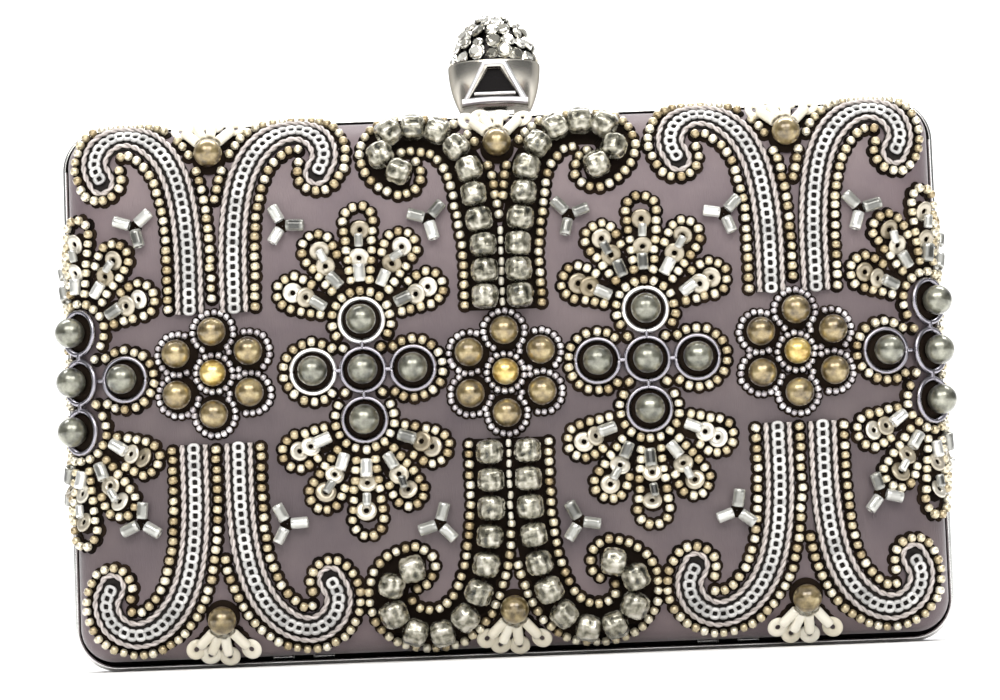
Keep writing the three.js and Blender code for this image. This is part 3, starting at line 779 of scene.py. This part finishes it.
def add_frame(name, side, body, node, fittings):
    points, faces = closed([outline(i, CORNER - i, depth, side, (2, 2), 14) for i, depth in frame_section()])
    tools = []
    for middle in (-HINGE_SPREAD, HINGE_SPREAD):
        own = [(middle + start, middle + end) for owner, start, end in KNUCKLES if owner == side]
        others = [(middle + start - GAP, middle + end + GAP)
                  for owner, start, end in KNUCKLES if owner != side]
        tools += hinge_rods("DIFFERENCE", KNUCKLE_RELIEF, others)
        tools += hinge_rods("UNION", KNUCKLE_RADIUS, own)
        tools += hinge_rods("DIFFERENCE", KNUCKLE_BORE, [(middle - HINGE_REACH, middle + HINGE_REACH)])
    points, faces = joined_or_cut(scratch_object(points, faces.tolist()), tools + fittings)
    # Faces in the crevice get the near-black metal of painted shade
    part = Part(points, faces, painted_shade_faces(points, faces, side))
    add_piece(name, [part], [silver, crevice_painted_shade], body, [node], crease=32)


catch = block((-CATCH_HALF, PART_Y + CATCH_FRONT, FITTING_LOW),
              (CATCH_HALF, PART_Y + CATCH_BACK, CLASP_FOOT - CATCH_CLEAR))
lug_post = block((-LUG_HALF, PIVOT_Y - LUG_RADIUS, FITTING_LOW), (LUG_HALF, PIVOT_Y + LUG_RADIUS, PIVOT_Z))
lug_eye = rod(LUG_RADIUS, -LUG_HALF, LUG_HALF, PIVOT_Y, PIVOT_Z)
lug_bore = rod(radius=0.9, start=-5, end=5, y=PIVOT_Y, z=PIVOT_Z)
add_frame("frame_front", FRONT, "front", "front_frame", [("UNION", *catch)])
add_frame("frame_back", BACK, "back", "back_frame",
          [("UNION", *lug_post), ("UNION", *lug_eye), ("DIFFERENCE", *lug_bore)])
for pin in ("hinge_pin_left", "hinge_pin_right"):
    frame["nodes"][pin].data.materials.clear()
    frame["nodes"][pin].data.materials.append(steel)


# Clasp

def window(top_width, base_width, over_foot, under_rim, front, back):
    """Block with the outline of the bowl's window."""
    low, high = CLASP_FOOT + over_foot, CLASP_RIM - under_rim
    shape = [(-base_width / 2, low), (base_width / 2, low), (top_width / 2, high), (-top_width / 2, high)]
    return lofted([[(x, PART_Y + y, z) for x, z in shape] for y in (front, back)])


def window_bar(points, radius):
    path = np.array(points) + [0, PART_Y, CLASP_FOOT + SILL_RISE]
    heading = unit(np.gradient(path, axis=0))
    across = unit(np.cross(heading, [0, 1, 0]))
    return Part(*bar(path, across, np.cross(across, heading), radius, 12), 2)


def add_clasp_ball():
    """Polished bowl with its framed window, hollowed for the lug and carrying the axle."""
    bowl = CLASP_RIM - CLASP_FOOT
    ellipse = bowl / math.sqrt(1 - (CLASP_FOOT_RADIUS / CLASP_RADIUS) ** 2)
    profile = [(CLASP_RADIUS * math.sqrt(1 - (below / ellipse) ** 2), CLASP_RIM - below)
               for below in bowl * np.linspace(1, 0, 17)[:-1]]
    profile += [(CLASP_RADIUS, CLASP_RIM - RIM_EASE_DOWN), (CLASP_RADIUS - RIM_EASE_IN, CLASP_RIM)]
    rings = [level_ring(radius, z, turns(72)) + [0, PART_Y, 0] for radius, z in profile]
    pivot = np.array([0, PIVOT_Y, PIVOT_Z])
    tools = [
        ("UNION", *window(*WINDOW_BOSS)),
        ("DIFFERENCE", *window(*WINDOW_CUT)),
        ("DIFFERENCE", *block(pivot - LUG_ROOM, pivot + LUG_ROOM)),
        ("UNION", *rod(radius=0.6, start=-4, end=4, y=PIVOT_Y, z=PIVOT_Z)),
    ]
    parts = [
        Part(*joined_or_cut(scratch_object(*lofted(rings)), tools)),
        # Near-black window floor: painted shade of the recess
        Part(*window(*WINDOW_FLOOR), 1),
        *[window_bar(points, radius) for radius, points in WINDOW_BARS],
    ]
    materials = [clasp_silver, recess_painted_shade, ring_white]
    add_piece("clasp_bowl", parts, materials, "clasp", ["clasp_ball"], crease=30)


def cut_stone(girdle, table, crown, pavilion):
    """Cut stone standing on Z: an octagonal table, two rows of crown facets and a short pavilion."""
    step = turns(8)
    half = step + math.pi / 8
    points, faces = lofted([
        level_ring(0.35 * girdle, -pavilion, half),
        level_ring(girdle, -0.12, step),
        level_ring(0.97 * girdle, 0.08, half),
        level_ring(0.5 * (girdle + table), 0.62 * crown, step),
        level_ring(table, crown, half),
    ])
    facets = []
    for face in faces:
        facets += [face[:3], [face[0], *face[2:]]] if len(face) == 4 else [face]
    return points, facets


def add_clasp_stones():
    """Dome of cut stones, set out in rows and a little out of place, over a near-black core that paints the
    shade between them.
    """
    centre = np.array([0, PART_Y, CLASP_RIM])
    core_radius, _, core_height = DOME_SIZE - STONE_SUNK
    rise = np.linspace(math.asin(GAP / DOME_SIZE[2]), 0.985 * math.pi / 2, 14)
    core = [level_ring(core_radius * math.cos(a), core_height * math.sin(a), turns(48)) for a in rise]
    parts = [Part(*lofted(centre + core), 1)]
    for row, (angle, count) in enumerate(STONE_ROWS):
        for k in range(count):
            tilt = math.radians(angle + rng.uniform(-STONE_TILT, STONE_TILT))
            shift = 0.5 * (row % 2) + rng.uniform(-STONE_SHIFT, STONE_SHIFT)
            turn = 2 * math.pi * (k + shift) / count
            flat = math.sin(tilt)
            out = Vector((flat * math.cos(turn), flat * math.sin(turn), math.cos(tilt)))
            size = rng.uniform(*STONE_SIZES)
            points, faces = cut_stone(girdle=1.5 * size, table=0.8 * size, crown=0.8 * size, pavilion=0.7)
            spin = Quaternion((0, 0, 1), rng.uniform(0, math.pi))
            lean = Quaternion(Vector(rng.normal(size=3)), math.radians(rng.uniform(0, STONE_LEAN)))
            turn_to = np.array((lean @ out.to_track_quat("Z", "Y") @ spin).to_matrix())
            placed = centre + (DOME_SIZE - STONE_SEAT) * np.array(out) + points @ turn_to.T
            placed[:, 2] = np.maximum(placed[:, 2], CLASP_RIM + GAP)
            parts.append(Part(placed, faces, 0, rng.uniform(0, 1)))
    add_piece("clasp_crystals", parts, [crystal, recess_painted_shade], "clasp", ["clasp_stones"], crease=0)


add_clasp_ball()
add_clasp_stones()


# Beads, as shapes about X with a hole for the thread

def pearl_shape(radius):
    bore = 0.4
    reach = math.acos(bore / radius)
    outside = [(radius * math.sin(t), radius * math.cos(t)) for t in np.linspace(-reach, reach, 17)]
    return turned(outside + [(0.5 * radius, 0.9 * bore), (-0.5 * radius, 0.9 * bore)], 30)


def mirrored(half_profile, sides):
    """Bead from one half of its profile, end to middle."""
    return turned([(-along, radius) for along, radius in half_profile] + half_profile[::-1], sides)


def seed_shape(radius, length, hole, sides=8):
    half = length / 2
    return mirrored([(half, hole), (0.96 * half, 0.62 * radius), (0.5 * half, 0.96 * radius)], sides)


def bugle_shape(radius, length, hole, sides=14):
    half = length / 2
    chamfer = 0.18
    end = [(half, hole), (half, radius - chamfer), (half - chamfer, radius)]
    return mirrored([*end, (0.5 * half, radius)], sides)


def slot_painted_shade(points):
    """Painted shade on a bugle's points: dark along the top, where the shaded hole shows through the glass.
    """
    along, _, out = np.abs(points).max(axis=0)
    return 1.0 - ((np.abs(points[:, 0]) < 0.6 * along) & (points[:, 2] > 0.8 * out))


def sequin_shape(outer, hole, thick):
    """Rounded ring lying in the XY plane."""
    middle = (outer + hole) / 2
    half = (outer - hole) / 2
    profile = [(0.5 * thick * math.sin(t), middle + half * math.cos(t)) for t in turns(10)]
    return laid_flat(*turned(profile, 28))


def disc_shape(hole, base, top, low, high, sides):
    """Round of cloth or thread lying in the XY plane, with a small hole."""
    return laid_flat(*turned([(low, hole), (low, base), (high, top), (high, hole)], sides))


def nugget_shape(radius, length, sides=36):
    """Squarish fluted bead; gives its tone too, which is dark in the flutes."""
    share = np.linspace(-0.985, 0.985, 15)
    profile = [(0.5 * length * s, radius * (1 - abs(s) ** 3.6) ** (1 / 2.8)) for s in share]
    hole = 0.5
    loop = profile + [(0.4 * length, hole), (-0.4 * length, hole)]
    flute_depth = 0.06
    deepest = 2 * flute_depth

    def flutes(along, angle):
        groove = (0.5 + 0.5 * np.cos(8 * angle + 0.5 * np.sin(2 * angle + along))) ** 3
        dent = 0.5 + 0.5 * np.sin(3 * angle + 2.1 * along + 1.3 * np.sin(5 * angle - 1.7 * along))
        return 1 - flute_depth * groove - flute_depth * dent

    points, faces = turned(loop, sides, flutes)
    along = np.array(loop)[:, :1]
    tone = np.clip((flutes(along, turns(sides)) - 1 + deepest) / deepest, 0, 1).ravel()
    return points, faces, tone


SEED = seed_shape(radius=0.97, length=1.55, hole=0.28, sides=10)
MINI_SEED = seed_shape(radius=0.72, length=1.14, hole=0.18)
PALE_SEED = seed_shape(radius=0.62, length=1.65, hole=0.2)
BUGLE = bugle_shape(radius=1.28, length=3.7, hole=0.55)
SHORT_BUGLE = bugle_shape(radius=0.9, length=2.7, hole=0.35)
FOOT_BUGLE = bugle_shape(radius=1.08, length=4.7, hole=0.5)
RING_LINK = bugle_shape(radius=0.5, length=1.5, hole=0.15, sides=8)
SEQUIN = sequin_shape(outer=2.25, hole=0.52, thick=0.8)
# Dark disc of thread under a bead, wider than the bead: it paints the shade round the bead
STITCH_AND_SHADE = disc_shape(hole=0.15, base=1.52, top=1.42, low=-0.1, high=0.1, sides=12)
DARK_DISC = disc_shape(hole=0.3, base=RING_RADIUS, top=RING_RADIUS, low=0.05, high=0.3, sides=40)
RING_TURN = turns(64)
RING_NOTCH = RING_WIRE * (1 - 0.35 * np.exp(-(np.sin(RING_TURN) / 0.05) ** 2))
WIRE_RING = ring_of(circle(RING_RADIUS, RING_TURN), RING_NOTCH, 10)
CHAIN_TURN = turns(20)
CHAIN_ROUND = circle(1, CHAIN_TURN)
CHAIN_PATH = np.sign(CHAIN_ROUND) * np.abs(CHAIN_ROUND) ** 0.75 * [0.87, 0.92]
CHAIN_LINK = ring_of(CHAIN_PATH, 0.36 + 0.10 * np.sin(CHAIN_TURN) ** 2, 7)


# Pearls, and their places with the circle of seeds round each

flower_pearls, single_pearls, ringed_pearls = [], [], []


def pearl_part(kind, rows):
    return sewn_on(pearl_shape(PEARL_RADIUS[kind]), rows, SEAT + PEARL_RADIUS[kind])


def add_pearl(node, kind, place):
    """Pearl on a dark round that paints its shade on the satin."""
    rows = [sewn_row(place, rng.uniform(0, 180))]
    shade_round = sewn_on(DARK_DISC, rows, height=0.1, slot=1, scale=SHADE_ROUND_RADIUS[kind] / RING_RADIUS)
    parts = [pearl_part(kind, rows), shade_round]
    material, slot = (golden, "golden_pearl") if kind == "heart" else (bronze, "bronze_pearl")
    add_piece(f"{node}_bead", parts, [material, thread_and_painted_shade], "front", [node])


def arm_place(u, across, up):
    return u + across * CROSS_ARM, PALMETTE_RISE + up * CROSS_ARM


def ringed_parts(place, across, bright=False):
    """Grey pearl in its wire ring, threaded along its arm of the cross."""
    ringed_pearls.append((*place, RINGED_BORDER))
    rows = [sewn_row(place, 0 if across else 90)]
    ring = sewn_on(WIRE_RING, rows, RING_LIFT, 1 if bright else 2)
    # The dark disc under the pearl paints the shade in the gap inside its ring
    return [pearl_part("grey", rows), ring, sewn_on(DARK_DISC, rows, SEAT, 3)]


def link_part(start, end):
    """Short wrapped link in the gap between the rings of two pearls."""
    start, end = np.array([start, end])
    return sewn_on(RING_LINK, [[*(start + end) / 2, *unit(end - start)]], LINK_LIFT, 2)


def add_ringed(node, parts):
    materials = [grey, ring_white, ring_grey, thread_and_painted_shade]
    add_piece(f"{node}_ringed", parts, materials, "front", [node])


for column in COLUMNS:
    flower = f"flower_{column.name}"
    heart = (column.u, column.flower)
    add_pearl(f"{flower}_heart", "heart", heart)
    flower_pearls.append((*heart, FLOWER_SEEDS["heart"]))
    for k in range(6):
        place = heart + polar(90 + 60 * k, PETAL_RADIUS)
        add_pearl(f"{flower}_petal_{k + 1}", "petal", place)
        flower_pearls.append((*place, FLOWER_SEEDS["petal"]))
    for end, level in (("top", 1), ("bottom", -1)):
        place = (column.u, SINGLE_RISE + level * SINGLE_HEIGHT)
        add_pearl(f"pearl_{column.name}_{end}", "single", place)
        single_pearls.append(place)

for name, u in PALMETTES:
    for arm, across, up in CROSS:
        place = arm_place(u, across, up)
        parts = ringed_parts(place, across, (name, arm) in BRIGHT_RINGS)
        if arm == "centre":
            parts += [link_part(place, arm_place(u, *other)) for _, *other in CROSS[1:]]
        add_ringed(f"palmette_{name}_{arm}", parts)

for name, u, inward in EDGES:
    parts = []
    for arm, across, up in CROSS:
        if across != -inward:
            place = arm_place(u, across, up)
            parts += ringed_parts(place, across)
            if arm != "centre":
                parts.append(link_part(arm_place(u, 0, 0), place))
    add_ringed(f"edge_pearls_{name}", parts)


# Scrolls

def strand(line, height, radius, orbit=0.0, phase=0.0, step=0.45):
    """Thread along a line; with an orbit it winds round the line as one ply of a twisted cord."""
    total = line_lengths(line)[-1]
    lengths = np.linspace(0, total, max(8, round(total / step)))
    centre, along, out = seated(at_lengths(line, lengths), height)
    across = np.cross(out, along)
    twist = (2 * math.pi * PLY_TURNS * lengths + phase)[:, None]
    centre = centre + orbit * (np.cos(twist) * across + np.sin(twist) * out)
    return bar(centre, across, out, radius, 6)


def band(line, half, shoulder, low, edge, crown, count):
    """Flat strip along a line, a little higher in the middle than at its edges."""
    places, heading = np.hsplit(at_lengths(line, np.linspace(0, line_lengths(line)[-1], count)), 2)
    section = [(-half, low), (half, low), (shoulder, edge), (0, crown), (-shoulder, edge)]
    edges = [seated(np.hstack([places + across * left_of(heading), heading]), height)[0]
             for across, height in section]
    return lofted(np.stack(edges, 1))


def add_braid(node, line):
    """Braid: a row of chain stitches with a twisted cord round it, on a dark backing that also paints the
    shade between the links.
    """
    backing = band(line, half=BACKING_HALF, shoulder=0.97 * BACKING_HALF, low=BRAID_SEAT,
                   edge=BRAID_SEAT + 0.4, crown=BRAID_SEAT + 0.5, count=90)
    end = at_lengths(line, line_lengths(line)[-1:])
    stitches = spaced(line, CHAIN_PITCH)
    shades = tones(len(stitches), len(CHAIN_LINK[0]))
    parts = [
        Part(*backing, tone=0.3),
        sewn_on(DARK_DISC, end, BRAID_SEAT - 0.1, tone=0.3, scale=BACKING_HALF / RING_RADIUS),
        sewn_on(CHAIN_LINK, stitches, BRAID_SEAT + 0.8, slot=1, tone=shades),
    ]
    cord = border(line, distance=2.38)
    for phase, tone in ((0, 0.35), (math.pi, 0.75)):
        ply = strand(cord, BRAID_SEAT + 0.75, radius=0.35, orbit=0.25, phase=phase)
        parts.append(Part(*ply, 2, tone))
    materials = [braid_backing_and_shade, chain_thread, cord_thread]
    add_piece(f"{node}_stitched", parts, materials, "front", [node])


def add_string(node, line):
    """String of crinkled beads on its thread, over a dark strip that paints the shade between and round the
    beads.
    """
    points, faces, tone = nugget_shape(NUGGET_RADIUS, NUGGET_LENGTH)
    centre, along, out = seated(shared_out(line, STRING_COUNT), SEAT + STRING_BEAD)
    spin = rng.uniform(0, 2 * math.pi, (STRING_COUNT, 1))
    out = np.cos(spin) * out + np.sin(spin) * np.cross(out, along)
    longest = line_lengths(line)[-1] / STRING_COUNT / NUGGET_LENGTH
    size = np.minimum(rng.uniform(0.96, 1.04, STRING_COUNT), longest)
    beads = copies((points, faces), centre, along, out, size)
    shade = np.clip(np.tile(tone, STRING_COUNT) + tones(STRING_COUNT, len(points), -0.15, 0.15), 0, 1)
    parts = [
        Part(*beads, 0, shade),
        Part(*strand(line, SEAT + STRING_BEAD, radius=0.4, step=1.5), 1),
        # Dark strip under the beads: painted shade
        Part(*band(line, half=3.7, shoulder=3.6, low=0.02, edge=0.2, crown=0.22, count=70), 1, 0.2),
    ]
    add_piece(f"{node}_strung", parts, [champagne, thread_and_painted_shade], "front", [node])


# Lines of the scrolls, each with how far off the seeds round it run
scrolls = []
for column in COLUMNS:
    for quarter, side, level in QUARTERS:
        table = BRAID_SCROLL if column.braided else UPPER_STRING if level > 0 else LOWER_STRING
        line = smooth_line([(column.u + side * across, column.rise + level * up) for across, up in table])
        if column.braided:
            add_braid(f"braid_{column.name}_{quarter}", line)
            scrolls.append((shortened(line, cut=0.6), BRAID_BORDER))
        else:
            add_string(f"beads_{quarter}", line)
            scrolls.append((shortened(line, cut=2.4), STRING_BORDER))


# Sewn beads: rows of (u, v, du, dv) for each kind

sewn = defaultdict(list)


def clear_of_scrolls(rows, slack):
    keep = np.ones(len(rows), bool)
    for line, distance in scrolls:
        keep &= distance_to(rows, line) >= distance - slack
    return rows[keep]


def clear_of(rows, centres, distance):
    return rows[distance_to(rows, centres) >= distance] if len(rows) else rows


def round_each(pearls, pitch, clearance):
    """Rows round each pearl, without those that run into the circle of another."""
    rows = []
    for pearl in pearls:
        *place, radius = pearl
        others = [other for other in pearls if other != pearl]
        line = circle(radius, np.linspace(0, 2 * math.pi, 73)) + place
        rows.extend(clear_of(spaced(line, pitch), others, clearance))
    return rows


def fan_petal(axis, length, half_width):
    """Outline of one petal along an axis, from the pearl outwards."""
    across = -left_of(axis)
    cap = np.linspace(0, math.pi, 13)[:, None]
    round_end = (length - half_width) * axis + half_width * (np.cos(cap) * across + np.sin(cap) * axis)
    foot, foot_half = PETAL_BASE * axis, PETAL_BASE_HALF * across
    return np.array([foot + foot_half, *round_end, foot - foot_half])


# Outlines of the scrolls
for line, distance in scrolls:
    rows = clear_of_scrolls(spaced(border(line, distance), SEED_PITCH), slack=0.3)
    rows = clear_of(rows, flower_pearls, distance=5.4)
    sewn["gold"].extend(clear_of(rows, single_pearls, distance=3.6))

# Small pale seeds between the two strings of the middle column
for level in (1, -1):
    line = np.array([(COLUMNS[1].u, COLUMNS[1].rise + level * up) for up in PALE_RUN])
    sewn["pale"].extend(spaced(line, pitch=2.0))

# Gold round the ringed pearls, and silver round the flowers' pearls
sewn["gold"] += round_each(ringed_pearls, SEED_PITCH, RINGED_CLEAR)
sewn["mini"] += round_each(flower_pearls, pitch=1.4, clearance=3.6)

# Fans of petals; those at the two ends leave out what leans too far outwards
for u, inward in [(u, 0) for _, u in PALMETTES] + [(u, inward) for _, u, inward in EDGES]:
    for level in (1, -1):
        pearl = np.array(arm_place(u, 0, level))
        for angle, length, half_width in FAN_PETALS:
            if inward * angle < -OUTWARD_LEAN:
                continue
            heading = level * (90 - angle)
            axis = polar(heading)
            rows = spaced(pearl + fan_petal(axis, length, half_width), SEED_PITCH)
            rows = clear_of(rows, ringed_pearls, RINGED_CLEAR)
            sewn["gold"].extend(clear_of_scrolls(rows, slack=0.6))
            for reach in np.arange(PETAL_STITCH_START, length - half_width, PETAL_STITCH_PITCH):
                sewn["petal"].append(sewn_row(pearl + reach * axis, heading))
            for kind, reach in FAN_FILL[abs(angle)]:
                place = pearl + reach * axis + rng.normal(scale=0.15, size=2)
                sewn[kind].append(sewn_row(place, heading + rng.normal(scale=9)))

# Bugles in threes, and the fans under and over the single pearls
for u, v, turn in TRIPLETS:
    # A dark disc at the middle of each three paints the shade in the gap between the bugles
    sewn["knot_and_shade"].append(sewn_row((u, v), turn))
    for k in range(3):
        heading = turn + 120 * k + rng.normal(scale=3)
        sewn["bugle"].append(sewn_row((u, v) + polar(heading, TRIPLET_REACH), heading))
for u, v in single_pearls:
    for angle in FOOT_ANGLES:
        heading = math.copysign(90 - angle, v)
        for kind, reaches in FOOT_FILL.items():
            sewn[kind] += [sewn_row((u, v) + polar(heading, reach), heading) for reach in reaches]


def jittered(rows, shift, degrees):
    """Rows as a hand sews them, a little out of place and out of line."""
    turn = np.radians(rng.normal(0, degrees, len(rows)))[:, None]
    places, heading = np.hsplit(rows, 2)
    places = places + rng.normal(0, shift, places.shape)
    return np.hstack([places, np.cos(turn) * heading + np.sin(turn) * left_of(heading)])


for kind, rows in sewn.items():
    rows = np.array(rows)
    sewn[kind] = rows[np.abs(rows[:, 0]) <= SEWN_REACH]
gold = thinned(sewn["gold"], spacing=1.72)
for kind, distance in (("foot_bugle", 1.9), ("foot_sequin", 2.6), ("pale", 1.7)):
    gold = clear_of(gold, sewn[kind], distance)
gold = jittered(gold, shift=0.08, degrees=9)
mini = jittered(thinned(sewn["mini"], spacing=1.2), shift=0.06, degrees=9)
pale = jittered(sewn["pale"], shift=0.06, degrees=4)


def add_beads(name, shape, rows, height, material, lean=0.0, size=(0.94, 1.05), shade=None):
    """Beads at rows, leaning along their threads; a painted shade over a bead's points darkens some beads
    more.
    """
    centre, along, out = seated(rows, height)
    if lean:
        angle = np.radians(rng.normal(lean, abs(lean) / 3, len(rows)))[:, None]
        along, out = np.cos(angle) * along + np.sin(angle) * out, np.cos(angle) * out - np.sin(angle) * along
    placed = copies(shape, centre, along, out, rng.uniform(*size, len(rows)))
    tone = tones(len(rows), len(shape[0]))
    if shade is not None:
        tone = np.minimum(0.5 + 0.5 * tone, np.tile(shade, len(rows)) + tone)
    add_piece(name, [Part(*placed, 0, tone)], [material], "front")


# Dark discs under beads: thread, and painted shade between and round the beads
def add_stitches_and_shade(name, rows, size, height=0.1):
    add_beads(f"stitches_{name}", STITCH_AND_SHADE, rows, height, thread_and_painted_shade, size=size)


def add_bugles(name, shape, rows, height, lean, size):
    add_beads(name, shape, rows, height, bugle_glass, lean, size, slot_painted_shade(shape[0]))


for zone, start, end in [("left", -math.inf, -30), ("middle", -30, 30), ("right", 30, math.inf)]:
    rows = gold[(gold[:, 0] > start) & (gold[:, 0] <= end)]
    add_beads(f"gold_seeds_{zone}", SEED, rows, 1.12, gold_bead)
    add_stitches_and_shade(zone, rows, size=(0.98, 1.04))
# Discs along each fan petal paint the shade among its bugles and sequins
add_stitches_and_shade("fans", sewn["petal"], size=(1.75, 1.8))
add_stitches_and_shade("flowers", mini, size=(0.68, 0.72))
add_stitches_and_shade("strings", pale, size=(0.8, 0.85), height=0.15)
add_stitches_and_shade("bugles", sewn["knot_and_shade"], size=(0.92, 1.0))
add_beads("silver_seeds", MINI_SEED, mini, 0.85, silver_bead)
add_beads("pale_seeds", PALE_SEED, pale, 0.9, sequin_pearl)
add_bugles("bugles", BUGLE, sewn["bugle"], 1.45, lean=4.0, size=(0.92, 1.03))
add_bugles("short_bugles", SHORT_BUGLE, sewn["short_bugle"], 2.0, lean=8.0, size=(0.94, 1.06))
add_beads("sequins", SEQUIN, sewn["sequin"], 1.15, fan_sequin, lean=22.0, size=(0.9, 0.98))
add_beads("foot_bugles", FOOT_BUGLE, sewn["foot_bugle"], 1.85, sequin_pearl,
          lean=-6.0, size=(0.97, 1.03))
add_beads("foot_sequins", SEQUIN, sewn["foot_sequin"], 1.0, sequin_pearl,
          lean=24.0, size=(0.96, 1.0))


# Stage, light and camera, in metres

KEY_WARMTH = (1.0, 0.98, 0.95)
# Lights: place, where they point, size, power and colour
LIGHTS = {
    "key_left": ((-0.30, -0.75, 0.62), (0, 0, 0.06), (0.5, 0.4), 3.5, KEY_WARMTH),
    "key_right": ((0.24, -0.78, 0.62), (0, 0, 0.06), (0.5, 0.4), 3.5, KEY_WARMTH),
    "front_card": ((0, -1.6, 0.35), (0, 0, 0.05), (1.6, 0.5), 4.5, (1, 1, 1)),
    "ceiling": ((0, -0.5, 3.0), (0, -0.5, 0), (9.0, 9.0), 130.0, (1, 1, 1)),
    "backdrop": ((0, 0.6, 2.2), (0, 1.8, 0.2), (3.0, 1.0), 90.0, (1, 1, 1)),
}


def add_stage():
    """Pale floor that sweeps up behind the clutch."""
    bend, near, far, tall, wide = 0.8, -6.0, 1.6, 3.0, 6.0
    sweep = [(far + bend * math.sin(a), bend * (1 - math.cos(a))) for a in np.linspace(0, math.pi / 2, 13)]
    profile = [(near, 0.0), *sweep, (far + bend, tall)]
    points = [(x, y, z) for y, z in profile for x in (-wide, wide)]
    faces = [(2 * i, 2 * i + 1, 2 * i + 3, 2 * i + 2) for i in range(len(profile) - 1)]
    mesh = bpy.data.meshes.new("floor")
    mesh.from_pydata(points, [], faces)
    mesh.polygons.foreach_set("use_smooth", [True] * len(faces))
    mesh.materials.append(Look("floor", (0.92, 0.92, 0.92), 0.9, specular_ior_level=0.1).material)
    floor = link_object("floor", mesh)


def add_area_light(name, place, target, size, power, color):
    light = bpy.data.lights.new(name, "AREA")
    light.shape = "RECTANGLE"
    light.size, light.size_y = size
    light.energy = power
    light.color = color
    lamp = link_object(name, light)
    lamp.location = place
    lamp.rotation_euler = (Vector(target) - Vector(place)).to_track_quat("-Z", "Y").to_euler()


def add_camera():
    """Camera just over the floor, at the photograph's slight upward look and roll."""
    place, aim = Vector((0.0, -0.700, 0.008)), Vector((-0.001, 0.0, 0.065))
    roll = math.radians(-2.2)
    camera = bpy.data.cameras.new("camera")
    camera.sensor_width = 36.0
    camera.lens = 118.7
    camera.clip_start = 0.01
    view = link_object("camera", camera)
    view.location = place
    view.rotation_mode = "QUATERNION"
    view.rotation_quaternion = (aim - place).to_track_quat("-Z", "Y") @ Quaternion((0, 0, 1), roll)
    bpy.context.scene.camera = view


def add_world():
    world = bpy.data.worlds.new("studio")
    world.use_nodes = True
    background = world.node_tree.nodes["Background"]
    background.inputs["Color"].default_value = (0.8, 0.82, 0.86, 1)
    background.inputs["Strength"].default_value = 0.2
    bpy.context.scene.world = world


add_stage()
for name, settings in LIGHTS.items():
    add_area_light(name, *settings)
add_world()
add_camera()
bpy.context.scene.view_settings.view_transform = "Standard"
